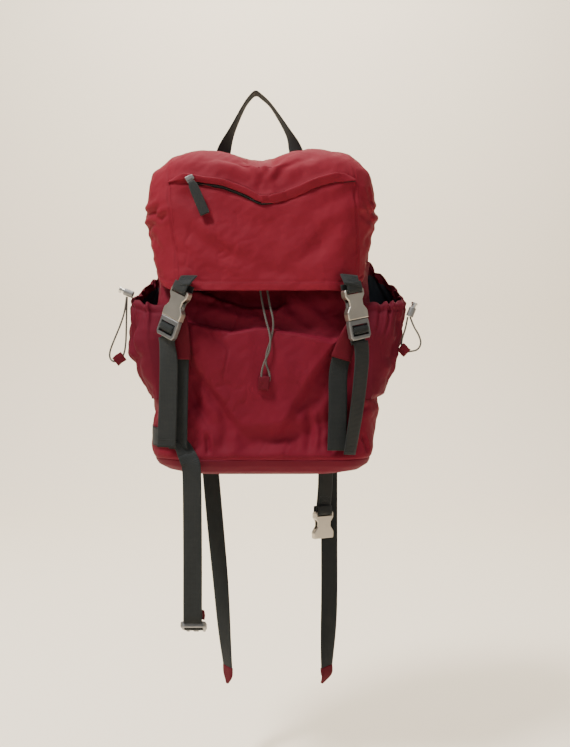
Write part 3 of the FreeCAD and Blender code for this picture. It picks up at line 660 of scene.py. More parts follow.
BAG_GROOVES = [
    ([(-20, -506), (10, -511), (60, -500), (104, -474)], 3.6, 10.0),
    ([(60, -470), (64, -500), (62, -534)], 3.2, 6.0),
    ([(-76, -505), (-73, -532)], 3.4, 3.2),
    ([(-60, -470), (-50, -500), (-54, -530)], 3.0, 7.0),
    ([(90, -505), (96, -534)], 2.0, 5.0),
    ([(-98, -430), (-90, -470)], 3.5, 7.0),
    ([(112, -400), (104, -450), (108, -500)], 2.8, 9.0),
    ([(136, -505), (142, -518), (146, -530)], 3.0, 3.0),
    ([(118, -442), (150, -456), (186, -462)], 3.0, 5.0),
    ([(122, -478), (150, -466), (172, -470)], 2.2, 5.0),
    ([(-150, -480), (-178, -470), (-210, -486)], 2.2, 8.0),
    ([(190, -490), (225, -478), (258, -492)], 2.2, 8.0),
    ([(-96, -322), (-60, -324), (-30, -334), (4, -340), (20, -334)], 4.2, 7.0),
    ([(26, -316), (40, -334), (62, -352), (72, -366)], 3.4, 8.0),
    ([(70, -340), (96, -334), (120, -340)], 2.2, 9.0),
    ([(106, -448), (94, -478), (86, -514)], 4.2, 10.0),
    ([(72, -470), (78, -500), (76, -530)], 2.2, 4.0),
    ([(-104, -442), (-86, -472), (-58, -506)], 3.6, 7.0),
]
POUCH_TOP = [(-106, -352), (-98, -353), (-70, -360), (-41, -366), (-8, -362), (12, -362), (50, -368),
             (94, -377), (112, -372), (124, -352)]
POUCH_LEFT = [(-112, -352), (-100, -385), (-92, -412), (-72, -442), (-46, -480), (-20, -510), (20, -600)]
POUCH_RIGHT = [(118, -352), (108, -380), (84, -412), (62, -440), (44, -468), (24, -504), (-20, -600)]


BASE_ROWS = 14
UNDERSIDE_ROWS = 12
BAG_TOP_Z = -262.0


def pouch(a, b):
    """1 on the full, hanging middle of the front panel, 0 on the slack cloth round it."""
    top = route_distance(a, b, POUCH_TOP)[0]
    left = route_distance(a, b, POUCH_LEFT)[0]
    right = route_distance(a, b, POUCH_RIGHT)[0]
    return ease(-1.0, 5.0, -top) * ease(-6, 7, left) * ease(-6, 9, -right) * ease(-522, -488, b)


def bag_widths(z):
    left = np.interp(z, [-561, -556, -548, -539, -500, -470, -440, -262],
                     [-104, -120, -132, -137, -142, -142.5, -141, -137])
    right = np.interp(z, [-561, -556, -548, -526, -505, -473, -455, -430, -400, -262],
                      [132, 150, 160.5, 168, 171, 175, 174, 169, 166, 164])
    return left, right


def bag_front(z):
    return np.interp(z, [-561, -556, -548, -539, -500, -460, -400, -378, -366, -345, -312, -262],
                     [-112, -126, -134, -138, -133, -129.5, -128.5, -129, -128, -124, -112, -96])


def bag_folds(around, heights, normals):
    """How far the bag's cloth stands off its plain form: creases, full middle, throat, crumples, seam."""
    front = np.clip(-normals[..., 1], 0, 1) ** 1.5
    lift = np.zeros_like(heights)
    for route, depth, width in BAG_GROOVES:
        lift += groove(around, heights, route, depth, width)
    full = pouch(around, heights)
    lift += front * 15.5 * full * (0.6 + 0.4 * ease(-500, -400, heights))
    lift += front * 2.5 * np.exp(-((around - 8) / 60) ** 2 - ((heights + 415) / 40) ** 2)
    lift -= front * 3.0 * np.exp(-((around - 16) / 80) ** 2 - ((heights + 515) / 14) ** 2)
    lift += front * 2.4 * np.exp(-((heights + 532) / 6.0) ** 2)
    above = ease(-542, -528, heights)
    lift += above * (1.5 * ripple(around, heights, 85, 21) + 0.8 * ripple(around, heights * 0.7, 38, 24))
    lift += above * 0.28 * ripple(around, heights, 16, 27)
    lift += above * (1.7 * crinkle(around * 1.2, heights, 85, 34) + 0.8 * crinkle(around, heights, 36, 38))
    throat = np.interp(around, [-112, -82, -50, -23, 20, 30], [-304, -311, -322, -331, -334, -326])
    open_part = ease(-116, -84, around) * ease(38, 22, around) * ease(-288, -304, heights)
    lift -= front * 15 * open_part * ease(-3, 5, heights - throat)
    lift += front * 2.2 * open_part * np.exp(-((heights - throat + 6) / 4.0) ** 2)
    gather = ease(-330, BAG_TOP_Z, heights)
    lift += gather * 1.6 * np.sin(around / 6.5 + 1.5 * ripple(around, heights * 0.2, 60, 31, 4))
    lift -= 1.2 * np.exp(-((heights + 538.5) / 1.8) ** 2)
    return lift + 0.7 * ripple(around, heights, 60, 33) * ease(-561, -552, heights)


def rest_cord(points, heights):
    """Pushes the cloth back to where the centre cord can hang in front of it."""
    behind_cord = np.exp(-((points[..., 0] - 18) / 22) ** 4)
    behind_cord *= ease(-300, -318, heights) * ease(-462, -446, heights)
    rest_line = np.interp(heights, [-450, -400, -372, -350, -330, -312],
                          [-143.4, -143.2, -142.6, -138.6, -131, -122])
    pushed = np.maximum(points[..., 1], rest_line)
    points[..., 1] += behind_cord * (pushed - points[..., 1])


def bag_shape():
    columns = 430
    base_heights = np.linspace(-561, -539, BASE_ROWS)
    levels = []
    for z in np.concatenate([base_heights, np.linspace(-536.5, BAG_TOP_Z, 118)]):
        back = np.interp(z, [-561, -548, -539], [-20, -8, -4])
        levels.append(level_ring(z, columns, *bag_widths(z), bag_front(z), back, 52, 14))
    points, around = (np.array(part) for part in zip(*levels))
    heights = points[..., 2].copy()
    normals = grid_normals(points, True)
    lift = bag_folds(around, heights, normals)
    calm = 1 - 0.85 * ease(-30, -8, points[..., 1])
    points = points + normals * (lift * calm)[..., None]
    points[..., 1] = np.minimum(points[..., 1], -3.2)
    rest_cord(points, heights)
    return points, grid_normals(points, True), around, heights


def underside(hem):
    """Rings that close the base: in from its hem towards the middle, down to the floor of the bag."""
    middle = np.array([14.0, -68.0, -562.0])
    rings = []
    for k in range(1, UNDERSIDE_ROWS):
        ring = middle + (hem - middle) * (1 - k / UNDERSIDE_ROWS)
        flat = min(1, k / 3)
        ring[:, 2] = hem[:, 2] * (1 - flat) - 562.0 * flat + 0.5 * math.sin(k * 1.7)
        rings.append(ring)
    return np.concatenate(rings)


def make_bag():
    points, normals, around, heights = bag_shape()
    rows, columns = heights.shape
    flat = points.reshape(-1, 3)
    faces = grid_faces(rows, columns, True)
    above_seam = (BASE_ROWS - 1) * columns
    # The bag body takes the red with painted shade
    main = new_piece("bag_body", flat, [f for f in faces if f[0] >= above_seam], [RED_IN_SHADE, LINING],
                     "root", ["main_bag"])
    drop_loose(main)
    thicken(main, 1.4)
    count = len(flat)
    shift = count - columns
    under = [tuple(i + shift if i >= columns else i for i in reversed(f))
             for f in grid_faces(UNDERSIDE_ROWS, columns, True)]
    last = [shift + (UNDERSIDE_ROWS - 1) * columns + k for k in range(columns)]
    # The base takes the red with deeper painted shade
    base = new_piece("bag_base", np.concatenate([flat, underside(points[0])]),
                     [f for f in faces if f[0] < above_seam] + under + [last], [RED_DEEPER_SHADE, LINING],
                     "root", ["bottom_panel"])
    drop_loose(base)
    thicken(base, 1.6)
    skin = Skin(points, normals, around, heights)
    hem = skin.trace([(a, -534.5) for a in np.linspace(-235, 235, 60)], 4, 0.2)
    stitches("base_topstitch", [hem], "root", THREAD)


def make_collar():
    """Throat of lighter cloth, drawn up into pleats by its cord."""
    columns = 300
    rings = []
    for k in range(26):
        t = k / 25
        drawn = max(0, (t - 0.4) / 0.6) ** 0.8
        outline = (-136 + 80 * drawn, 164 - 82 * drawn, -97 + 20 * t, -5 - 15 * t, 44 - 18 * t, 12)
        rings.append(level_ring(BAG_TOP_Z + 37 * t, columns, *outline)[0])
    points = np.array(rings)
    normals = grid_normals(points, True)
    t = np.linspace(0, 1, 26)[:, None]
    angle = np.arange(columns)[None, :] / columns * 2 * math.pi
    pleat = np.sin(angle * 34 + 1.3 * np.sin(angle * 5)) * (0.8 + 2.6 * t)
    band = 2.4 * np.exp(-((t - 0.86) / 0.08) ** 2)
    points = points + normals * (pleat + band)[..., None]
    piece = new_piece("collar_throat", points.reshape(-1, 3), grid_faces(26, columns, True), [RED, LINING],
                      "root", ["collar"])
    thicken(piece, 1.0)


# ---------------------------------------------------------------- pockets

POCKET_FOOT_Z = -458.0
POCKET_BACK_Y = -8.0
# height, and how far the pocket reaches out there
LEFT_PROFILE = [(-458, 4), (-441, 9), (-425, 19.5), (-406, 29.5), (-393, 34), (-372, 34.5), (-340, 33),
                (-314, 29.5), (-286, 15), (-250, 3)]
RIGHT_PROFILE = [(-458, 11), (-441, 18), (-431, 22), (-421, 28), (-405, 33), (-386, 35), (-372, 39.5),
                 (-350, 44), (-330, 48), (-318, 46), (-287, 30), (-250, 5)]
# height of the rim at seven places from the pocket's front to its back
LEFT_RIM = [-328, -325, -319, -309, -296, -280, -262]
RIGHT_RIM = [-327, -325, -322, -315, -291, -262, -239]


def pocket_form(side_x, outward, profile, span, z):
    """A pocket's plain form, half an oval against the bag's side, with how far round and out it is."""
    front_y = np.maximum(-124.0, bag_front(z) + 7)
    y = front_y + (POCKET_BACK_Y - front_y) * (0.5 - 0.5 * np.cos(span * math.pi))
    sewn = ease(0.05, 0.0, span)
    corner = np.clip(-89 - y, 0, 50) * (1 - sewn) + np.clip(bag_front(z) + 52 - y, 0, 50) * sewn
    rear_corner = np.clip(y + 18, 0, 13)
    reach = np.interp(z, *zip(*profile))
    oval = np.sin(span * math.pi) ** 0.72
    panel_x = bag_widths(z)[(1 + outward) // 2]
    x = panel_x + (side_x - panel_x) * np.clip(oval * 2, 0, 1)
    x = x - outward * (52 - np.sqrt(52 ** 2 - corner ** 2) + 14 - np.sqrt(14 ** 2 - rear_corner ** 2))
    x = x + outward * (oval * (0.8 + reach) - 0.4 * sewn)
    return np.stack([x, y, z], axis=-1), oval, reach


def pocket_folds(span, below, oval, phase, y, z, seed):
    """How far a pocket's cloth stands off its plain form: gathers, elastic rim, crumples, folds."""
    inner = ease(0, 0.05, span) * ease(1, 0.95, span)
    lift = np.exp(-np.clip(below - 11, 0, 99) / 24) * inner * (1.7 * np.sin(phase) + np.sin(phase * 1.7 + seed))
    lift += 2.0 * np.exp(-((below - 5) / 3.4) ** 2) * inner
    lift -= 1.4 * np.exp(-((below - 11.5) / 2.0) ** 2)
    lift += 1.9 * ripple(y, z, 60, seed) * oval + 0.9 * ripple(y * 1.6, z * 0.7, 26, seed + 2) * oval
    lift += 0.3 * ripple(y, z, 14, seed + 5) * oval + 1.0 * crinkle(y, z, 50, seed + 8) * oval
    for start, depth in ((0.16, 3.4), (0.34, 3.0), (0.52, 2.6), (0.74, 2.4)):
        top = -124 + 116 * start
        route = [(top, -338), (top + 7, -372), (top - 2, -400), (top + 10, -436)]
        lift += groove(y, z, route, depth, 5.5) * oval
    return lift + groove(y, z, [(-118, -398), (-80, -412), (-40, -404)], 2.6, 6.0) * oval


def make_pocket(name, node, side_x, outward, profile, rims, seed):
    """Gathered side pocket whose elastic rim slopes down to the front."""
    columns, rows = 190, 90
    span = np.linspace(0, 1, columns)[None, :]
    rise = np.linspace(0, 1, rows)[:, None]
    rim = np.interp(span, [0, 0.12, 0.3, 0.5, 0.68, 0.85, 1], rims)
    z = POCKET_FOOT_Z + rise * (rim - POCKET_FOOT_Z)
    points, oval, reach = pocket_form(side_x, outward, profile, span, z)
    y = points[..., 1].copy()
    normals = grid_normals(points, False)
    normals *= np.sign(normals[rows // 2, columns // 2, 0] * outward)
    below = rim - z
    phase = span * 2 * math.pi * 11 + 2.6 * np.sin(span * 13 + seed) + 0.9 * np.sin(z / 11.0 + seed)
    wide = ease(0, 0.04, span) * ease(1, 0.96, span)
    lift = pocket_folds(span, below, oval, phase, y, z, seed) * wide
    points = points + normals * lift[..., None]
    points[..., 2] += 1.8 * np.sin(phase * 1.1) * np.exp(-below / 6.0) * wide
    points[..., 0] -= outward * ease(0.06, 0.0, rise) * oval * (reach * oval * 0.8)
    faces = grid_faces(rows, columns, False)
    # The pocket takes the red with deeper painted shade
    piece = new_piece(name, points.reshape(-1, 3), faces, [RED_DEEPER_SHADE, LINING], "root", [node])
    fix_facing(piece, outward)
    thicken(piece, 1.3)
    for polygon in piece.data.polygons:
        place = polygon.center / MM
        if np.interp(place.y, y[-1], rim[0]) - place.z < 15:
            polygon.material_index = 0


def fix_facing(piece, outward):
    """Turns every face outwards so that the cloth thickness and its lining lie inside."""
    total = sum(p.normal.x * p.area for p in piece.data.polygons)
    if total * outward < 0:
        piece.data.flip_normals()


# ---------------------------------------------------------------- webbing pieces

GRAB_LOOP = [(-52, 7, -126, 10), (-52, 6.5, -104, 20), (-47, 4, -82, 45), (-36, 1.5, -56, 75),
             (-19, 0, -21, 88), (-8, 0, -5, 90), (0, 0, 0.6, 90), (8, 0, -4, 90), (24, 0, -20, 90),
             (48, 1.5, -58, 105), (58, 4, -80, 135), (65, 6.5, -104, 160), (67, 7, -126, 170)]
BUCKLES = {
    "left": ((-90.4, -162.5, -313), (-114, -151.5, -374), -37),
    "right": ((132, -158, -312), (144.5, -151, -381), 34),
    "hip_socket": ((101.5, 3.5, -632), (100.5, 3.5, -700), 30),
    "hip_plug": ((-79, -82.5, -787), (-79, -143, -757.5), 0),
}
OVER_BAR = [(9, 10.4), (3, 11.4), (0, 11.6), (-2.6, 11.2), (-4.4, 9.0), (-4.9, 5.5), (-4.5, 1.5),
            (-3.0, -1.0), (1, -1.6), (8, -1.4)]
ROUND_CROSSBAR = [(-70, -1.2), (-62, -1.0), (-55, -0.9), (-50.6, 0.0), (-49.3, 3.0), (-49.6, 7.0),
                  (-51.4, 9.8), (-54.5, 10.7), (-57.6, 9.8), (-59.2, 7.0), (-59.6, 3.4), (-61, 1.0),
                  (-66, 0.0), (-73, -0.2)]
LID_TABS = {
    "left": [(-82.5, -156.6, -294.5, -20), (-84.4, -160.8, -298.5, -28), (-87, -166.4, -303.4, -34),
             (-89.6, -170.4, -308.8, -37)],
    "right": [(128.4, -154.6, -293.0, 22), (129.4, -158.2, -297.5, 27), (130.6, -162.2, -302.4, 32),
              (132.0, -165.8, -308, 34)],
}
SEWN_STRAPS = {
    "left": [(-99, -141.6, -524, -4), (-98, -143.2, -470, -6), (-96.5, -144.6, -410, -8),
             (-95.5, -146.4, -385, -12), (-97, -148.0, -364, -20)],
    "right": [(113, -142.4, -526, 3), (114.5, -143.6, -470, 5), (115, -144.6, -424, 7),
              (121, -146.0, -396, 16), (129, -147.4, -376, 26)],
}
STRAP_TAILS = {
    "left": [(-114.8, -149.4, -373, -34), (-112.6, -149.6, -386, -28), (-110.4, -150.4, -410, -12),
             (-111, -149.8, -460, -7), (-113.5, -149.4, -521, -4)],
    "right": [(144.6, -149.6, -380, 34), (146.2, -149.4, -394, 36), (145.4, -149.4, -416, 38),
              (139, -148.4, -470, 42), (130, -148.4, -531, 48)],
}
STRAP_SLEEVES = {
    "left": [(-95.8, -146.6, -404, -8, 28), (-95, -147.4, -386, -11, 27), (-96, -148.6, -364, -18, 26),
             (-98, -149.4, -346, -24, 23)],
    "right": [(118.5, -146.8, -404, 12, 28), (123, -147.6, -390, 18, 27), (130, -149, -372, 26, 26),
              (136, -150, -358, 30, 22)],
}
HIP_CORNER = [(-97, -139.8, -512, 42), (-91, -141.5, -524, 34), (-86.6, -143.9, -533, 20)]
HIP_HANGING = [(-87.8, -143.2, -530.5, 23), (-84, -145.4, -538, 14), (-80, -147, -556, 2),
               (-79, -147, -640, 0), (-79, -145.6, -745, 0), (-79, -143.5, -755, 0), (-79, -138.0, -758.4, 0)]
HIP_SHORT = [(106.1, 3.5, -556.5, 25), (105.4, 3.5, -580, 27), (104.6, 3.5, -600, 28),
             (101.5, 3.5, -634, 30), (101.4, 2.2, -638.5, 30)]
HIP_BAND = [(-140.6, -14, 0), (-141, -60, 0), (-140, -88, 0), (-133, -112, 0), (-118, -130, 0),
            (-104, -138.0, 0), (-92, -140.6, 0)]


SEWN_BOX_WIDTH = 19.0
WRAP_HALF_WIDTH = 12.3


class BuckleFrame:
    """Places on a buckle: x across it, y up its length from its top, z out of its face."""

    def __init__(self, top, lower, yaw):
        self.up = unit(np.array(top, float) - np.array(lower, float))
        face = np.array([math.sin(math.radians(yaw)), -math.cos(math.radians(yaw)), 0])
        self.face = unit(face - self.up * face.dot(self.up))
        self.across = np.cross(self.up, self.face)
        self.origin = np.array(top, float) - self.face * 5

    def place(self, x, y, z):
        return self.origin + self.across * x + self.up * y + self.face * z

    def wrap(self, name, path, body, material=None):
        """Webbing threaded along a path of (y, z) places."""
        track = spline([(*pair, 0) for pair in path], 0.9)[:, :2]
        ahead = unit(np.gradient(track, axis=0))
        rim = section_rim(-1, 1, 9)
        run = run_lengths(track)
        verts, uvs = [], []
        for i, (y, z) in enumerate(track):
            for u, side in rim:
                off = side * 0.75 * (1 - abs(u) ** 6 * 0.45)
                verts.append(self.place(u * WRAP_HALF_WIDTH, y - ahead[i, 1] * off, z + ahead[i, 0] * off))
                uvs.append((run[i] * MM, u * WRAP_HALF_WIDTH * MM))
        band_piece(name, verts, uvs, len(rim), material or WEBBING, body)


def box_stitch(points, across, normal, start, length, lift):
    """Runs of a sewn box with its diagonals on a strap, from one of its points along."""
    distance = np.linalg.norm(points - points[0], axis=1)
    corners = []
    for place, sides in ((start, (-1, 1)), (start + length, (1, -1))):
        i = np.argmin(np.abs(distance - place))
        corners += [points[i] + across[i] * side * SEWN_BOX_WIDTH / 2 + normal[i] * lift for side in sides]
    up = normal[np.argmin(np.abs(distance - start))] * np.sign(lift)
    lines = ((0, 1), (1, 2), (2, 3), (3, 0), (0, 2), (1, 3))
    return [(np.linspace(corners[a], corners[b], 12), np.tile(up, (12, 1))) for a, b in lines]


def make_lid_tab(side):
    buckle = BuckleFrame(*BUCKLES[side])
    buckle.wrap(f"{side}_tab_wrap", OVER_BAR, "lid")
    buckle.wrap(f"{side}_frame_wrap", ROUND_CROSSBAR, f"{side}_strap", material=WEBBING_DARK)
    _, points, across, normal = strap(f"{side}_tab_webbing", LID_TABS[side], "lid", [f"{side}_lid_tab"],
                                      thick=2.6, wander=0, seed=3)
    return box_stitch(points, across, normal, 3, 8, 1.5)


def make_front_strap(side):
    """Sewn strap, its red sleeve and its hanging tail, with the two stitch rows of the tail's hem."""
    body = f"{side}_strap"
    strap(f"{side}_sewn_webbing", SEWN_STRAPS[side], body, [body], seed=4, material=WEBBING_DARK)
    _, points, across, normal = strap(f"{side}_tail_webbing", STRAP_TAILS[side], body,
                                      [f"{side}_strap_tail"], seed=5, wander=0.5)
    strap(f"{side}_red_sleeve", STRAP_SLEEVES[side], body, thick=4.0, material=RED_SLEEVE, wander=0.8,
          crown=0.3, seed=15)
    low = points[-1] + normal[-1] * 1.2
    high = low - (points[-1] - points[-6]) * 0.8
    half = across[-1] * 12.0
    middles = [high + (low - high) * k for k in (0.15, 0.75)]
    return [(np.linspace(mid - half, mid + half, 10), np.tile(normal[-1], (10, 1))) for mid in middles]


def make_hip_webbing():
    """Hip straps, split at their pivots, and the band round the side; gives the stitch rows."""
    strap("hip_corner_webbing", HIP_CORNER, "root", seed=6)
    strap("hip_hanging_webbing", HIP_HANGING, "left_hip", ["left_hip_strap"], seed=6, wander=0.7)
    strap("hip_root_webbing", [(107, 3, -540, 22), (106, 3.5, -559, 25)], "root", thick=2.4, seed=8)
    _, points, across, normal = strap("hip_short_webbing", HIP_SHORT, "right_hip", ["right_hip_strap"],
                                      thick=2.4, seed=7)
    make_band("hip_band_webbing", HIP_BAND, -505.5)
    BuckleFrame(*BUCKLES["hip_socket"]).wrap("hip_socket_wrap", OVER_BAR, "right_hip")
    BuckleFrame(*BUCKLES["hip_plug"]).wrap("hip_plug_wrap", ROUND_CROSSBAR[3:12], "left_hip")
    return box_stitch(points, across, normal, 52, 12, 1.4)


def make_webbing():
    strap("loop_webbing", GRAB_LOOP, "grab_loop", ["grab_loop"], seed=2)
    sewn = {"lid": make_lid_tab("left") + make_lid_tab("right")}
    for side in ("left", "right"):
        sewn[f"{side}_strap"] = make_front_strap(side)
    sewn["right_hip"] = make_hip_webbing()
    for body, rows in sewn.items():
        stitches(f"{body}_webbing_stitches", rows, body, THREAD_DARK, 2.6, 1.9, 0.6)


def make_band(name, route, z):
    """Upright webbing that runs round the bag's side."""
    track = spline(route, 3.0)[:, :3]
    normal = np.cross(np.array([0, 0, 1.0]), unit(np.gradient(track, axis=0)))
    run = run_lengths(track)
    rim = section_rim(-1, 1, 11)
    verts, uvs = [], []
    for i in range(len(track)):
        outward = normal[i] * (-1 if normal[i][1] > 0.2 or normal[i][0] > 0.2 else 1)
        droop = -4.0 * run[i] / run[-1] + 0.8 * math.sin(run[i] / 21)
        for u, side in rim:
            verts.append(track[i] + np.array([0, 0, z + droop + u * 12.5]) + outward * (side * 0.75 + 1.2))
            uvs.append((run[i] * MM, u * 12.5 * MM))
    band_piece(name, verts, uvs, len(rim), WEBBING_DARK, "root", ["left_hip_wrap"])


SHOULDER_TAILS = {
    "left": [(-63.8, -640, 0), (-51.5, -781, -28), (-43.5, -874.6, -54)],
    "right": [(111.7, -640, 0), (111.5, -781, 8), (107.5, -874.6, 46)],
}


def shoulder_x(hand, offset):
    return BAG_MIDDLE_X + hand * offset


def make_shoulder(side, hand):
    """Padded strap, its threaded web, hanging tail and bound tip."""
    body = f"{side}_shoulder"
    stations = [(shoulder_x(hand, 26), 12, -138, 0, 44), (shoulder_x(hand, 46), 12, -190, 0, 57),
                (shoulder_x(hand, 74), 12, -270, 0, 58), (shoulder_x(hand, 92), 12, -350, 0, 50),
                (shoulder_x(hand, 96), 12, -414, 0, 35)]
    # The pad takes the red with painted shade
    pad, points, across, normal = strap(f"{side}_pad", stations, body, [f"{side}_shoulder_strap"], thick=6.5,
                                        material=RED_IN_SHADE, wander=0.0, crown=0.25, step=4.0)
    inflate(pad, 3.0)
    runs = []
    for edge in (-0.80, 0.80):
        line = np.array([points[i] + across[i] * edge * stations_width(stations, points[i]) / 2
                         + normal[i] * 5.2 * np.sign(normal[i][1]) for i in range(2, len(points) - 2)])
        runs.append((line, np.tile([0, 1.0, 0], (len(line), 1))))
    stitches(f"{side}_pad_stitches", runs, body, THREAD)
    x = shoulder_x(hand, 97)
    strap(f"{side}_pad_end_web", [(x - hand, 12, -404, 0), (x, 13.2, -415, 0), (x, 15.4, -424, 0),
                                  (x, 12, -431, 0)], body, thick=1.6, wander=0, seed=8)
    strap(f"{side}_lower_webbing", [(x, 6.5, -422, 0), (x, 5.0, -432, 0), (shoulder_x(hand, 110), 2.0, -500, 0),
                                    (shoulder_x(hand, 121), 1.6, -530, 0)],
          "root", [f"{side}_lower_web"], seed=9)
    tails = SHOULDER_TAILS[side]
    bend_x = (x + (-70 if side == "left" else 112)) / 2
    track = [(x, 16.5, -428, 0), (bend_x, 16.5, -500, 0)] + [(px, 16.5, pz, turn) for px, pz, turn in tails]
    strap(f"{side}_tail_web", track, f"{side}_shoulder_tail", [f"{side}_shoulder_tail"], seed=10 + hand,
          wander=0.6, material=WEBBING_DARK)
    end_x, _, end_turn = tails[-1]
    lean = -1 if side == "left" else -7
    strap(f"{side}_tail_binding", [(end_x, 16.5, -871, end_turn, 26.5), (end_x, 16.5, -884, end_turn, 24),
                                   (end_x + lean, 16.5, -897, end_turn, 5)],
          f"{side}_shoulder_tail", [f"{side}_tail_tip"], thick=3.0, material=RED_BINDING, wander=0.2, step=2.0)


def stations_width(stations, point):
    heights = [s[2] for s in stations][::-1]
    widths = [s[4] for s in stations][::-1]
    return np.interp(point[2], heights, widths)


def inflate(piece, limit):
    """Fills a pad by cloth simulation under pressure, with its swelling capped at a limit in mm."""
    remesh = piece.modifiers.new("even", "REMESH")
    remesh.mode = "VOXEL"
    remesh.voxel_size = 0.0045
    remesh.use_smooth_shade = True
    apply_modifiers(piece)
    start = np.array([v.co[:] for v in piece.data.vertices])
    cloth = piece.modifiers.new("fill", "CLOTH")
    cloth.settings.use_pressure = True
    cloth.settings.uniform_pressure_force = 4
    cloth.settings.effector_weights.gravity = 0
    cloth.settings.quality = 5
    scene = bpy.context.scene
    for number in range(1, 21):
        scene.frame_set(number)
    swollen = piece.evaluated_get(bpy.context.evaluated_depsgraph_get())
    ends = np.array([v.co[:] for v in swollen.data.vertices])
    move = ends - start
    size = np.linalg.norm(move, axis=1, keepdims=True)
    move *= np.minimum(1, limit * MM / np.maximum(size, 1e-9))
    piece.modifiers.clear()
    scene.frame_set(1)
    for vertex, place in zip(piece.data.vertices, start + move):
        vertex.co = place
    even = piece.modifiers.new("even_edges", "SMOOTH")
    even.factor, even.iterations = 0.5, 8
    piece.modifiers.new("smooth", "SUBSURF").levels = 1
    apply_modifiers(piece)
    for polygon in piece.data.polygons:
        polygon.use_smooth = True


BACK_LEFT, BACK_RIGHT = -120, 148
BACK_FOOT, BACK_TOP = -536, -114
BACK_HEM = [(-97, -532), (125, -532), (144, -513), (144, -137), (125, -118), (-97, -118), (-116, -137),
            (-116, -513), (-97, -532)]


def make_back():
    """Padded back panel, quilted into channels with mesh cloth over foam."""
    columns, rows = 150, 210
    x = np.linspace(BACK_LEFT, BACK_RIGHT, columns)[None, :] + np.zeros((rows, 1))
    z = np.linspace(BACK_FOOT, BACK_TOP, rows)[:, None] + np.zeros((1, columns))
    end_gap = np.minimum(z - BACK_FOOT, BACK_TOP - z)
    edge = np.minimum(np.minimum(x - BACK_LEFT, BACK_RIGHT - x), end_gap)
    crown = np.sqrt(np.clip(edge / 16, 0, 1)) * 2.6
    for line in (-76, 104):
        crown -= 1.7 * np.exp(-((x - line) / 3.0) ** 2)
    off_middle = np.abs(x - BAG_MIDDLE_X)
    for line in np.arange(-500, -150, 44):
        crown -= (off_middle < 90) * 1.1 * np.exp(-((z - line - 7 * off_middle / 90) / 3.2) ** 2)
    crown += 0.25 * ripple(x, z, 40, 41)
    short = np.clip(24 - end_gap, 0, 24)
    x = BAG_MIDDLE_X + (x - BAG_MIDDLE_X) * (110 + np.sqrt(24 ** 2 - short ** 2)) / 134
    face = np.stack([x, -2.5 + np.clip(crown, 0.1, 3.2), z], axis=-1)
    rear = face.copy()
    rear[..., 1] = -2.6
    verts = np.concatenate([face.reshape(-1, 3), rear.reshape(-1, 3)])
    panel = new_piece("back_pad", verts, back_to_back(rows, columns), MESH_PAD, "root",
                      ["back_panel", "back_foam"])
    drop_loose(panel)
    runs = []
    for (x0, z0), (x1, z1) in zip(BACK_HEM, BACK_HEM[1:]):
        line = np.linspace((x0, -1.4, z0), (x1, -1.4, z1), 60)
        runs.append((line, np.tile([0, 1.0, 0], (60, 1))))
    stitches("back_pad_stitches", runs, "root", THREAD)


# ---------------------------------------------------------------- cords

CENTRE_CORD = [(10, -106.5, -262), (9, -113.5, -276), (9, -124.5, -297), (12, -133.5, -322),
               (18, -143, -350), (25, -147.2, -374), (24, -148.2, -393), (16, -147.8, -408),
               (12.5, -147.5, -422), (12.6, -147.5, -433), (18, -147.2, -438), (24, -146.8, -433),
               (23.6, -144.5, -423), (18, -143.4, -410), (19, -142.8, -395), (26, -142.5, -376),
               (29.5, -144.2, -354), (23, -140.5, -330), (18.5, -124.5, -300), (19, -113, -276),
               (20, -106.5, -262)]
LEFT_CORD = [(-177, -94, -316), (-178.5, -95, -333), (-184, -95.5, -352), (-193, -96, -374),
             (-200, -96, -391), (-200.5, -96, -402), (-194, -96, -407.5), (-186, -96, -404),
             (-180.5, -95.5, -397), (-178, -95, -383), (-177.5, -94, -363), (-177.5, -92.5, -343),
             (-177, -91, -316)]
RIGHT_CORD = [(215.5, -92, -344), (212.5, -94, -360), (207, -95, -374), (206, -96, -387), (212, -96, -393),
              (221, -96.5, -392), (229, -97, -390), (234, -97, -381), (230, -96, -368),
              (223, -94, -357), (219, -92, -344)]
CORD_DIAMETER = 2.5


def make_cord(name, node, route):
    curve = bpy.data.curves.new(name, "CURVE")
    curve.dimensions = "3D"
    line = curve.splines.new("NURBS")
    line.points.add(len(route) - 1)
    for point, place in zip(line.points, route):
        point.co = (*(c * MM for c in place), 1)
    line.order_u = 3
    line.use_endpoint_u = True
    curve.bevel_depth = CORD_DIAMETER / 2 * MM
    curve.bevel_resolution = 5
    curve.resolution_u = 12
    curve.materials.append(CORD)
    piece = bpy.data.objects.new(name, curve)
    bpy.context.collection.objects.link(piece)
    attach(piece, "root")
    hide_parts(node)


def make_tab(name, node, centre, width, drop, tilt, seed):
    """Pull tab: red cloth folded over the cord, crowned where the cord runs and stitched below it."""
    columns, rows = 22, 20
    u = np.linspace(-1, 1, columns)[None, :] + np.zeros((rows, 1))
    v = np.linspace(0, 1, rows)[:, None] + np.zeros((1, columns))
    bulge = 1.5 + 0.75 * np.exp(-((v - 0.30) / 0.3) ** 2) + 0.12 * ripple(u * 9, v * 14, 7, seed)
    rim = np.minimum(1, (1 - np.abs(u)) * 7 + 0.25) * np.minimum(1, np.minimum(v, 1 - v) * 8 + 0.25)
    x = u * width / 2 * (1 - 0.05 * v)
    z = -v * drop + 0.4 * np.sin(u * 3 + seed)
    angle = math.radians(tilt)
    cos, sin = math.cos(angle), math.sin(angle)
    verts = [np.stack([x * cos + z * sin, face * bulge * rim, z * cos - x * sin], axis=-1).reshape(-1, 3)
             for face in (-1, 1)]
    verts = np.concatenate(verts) + np.array(centre)
    piece = new_piece(name, verts, back_to_back(rows, columns), RED_BINDING, "root", [node])
    drop_loose(piece)
    return piece


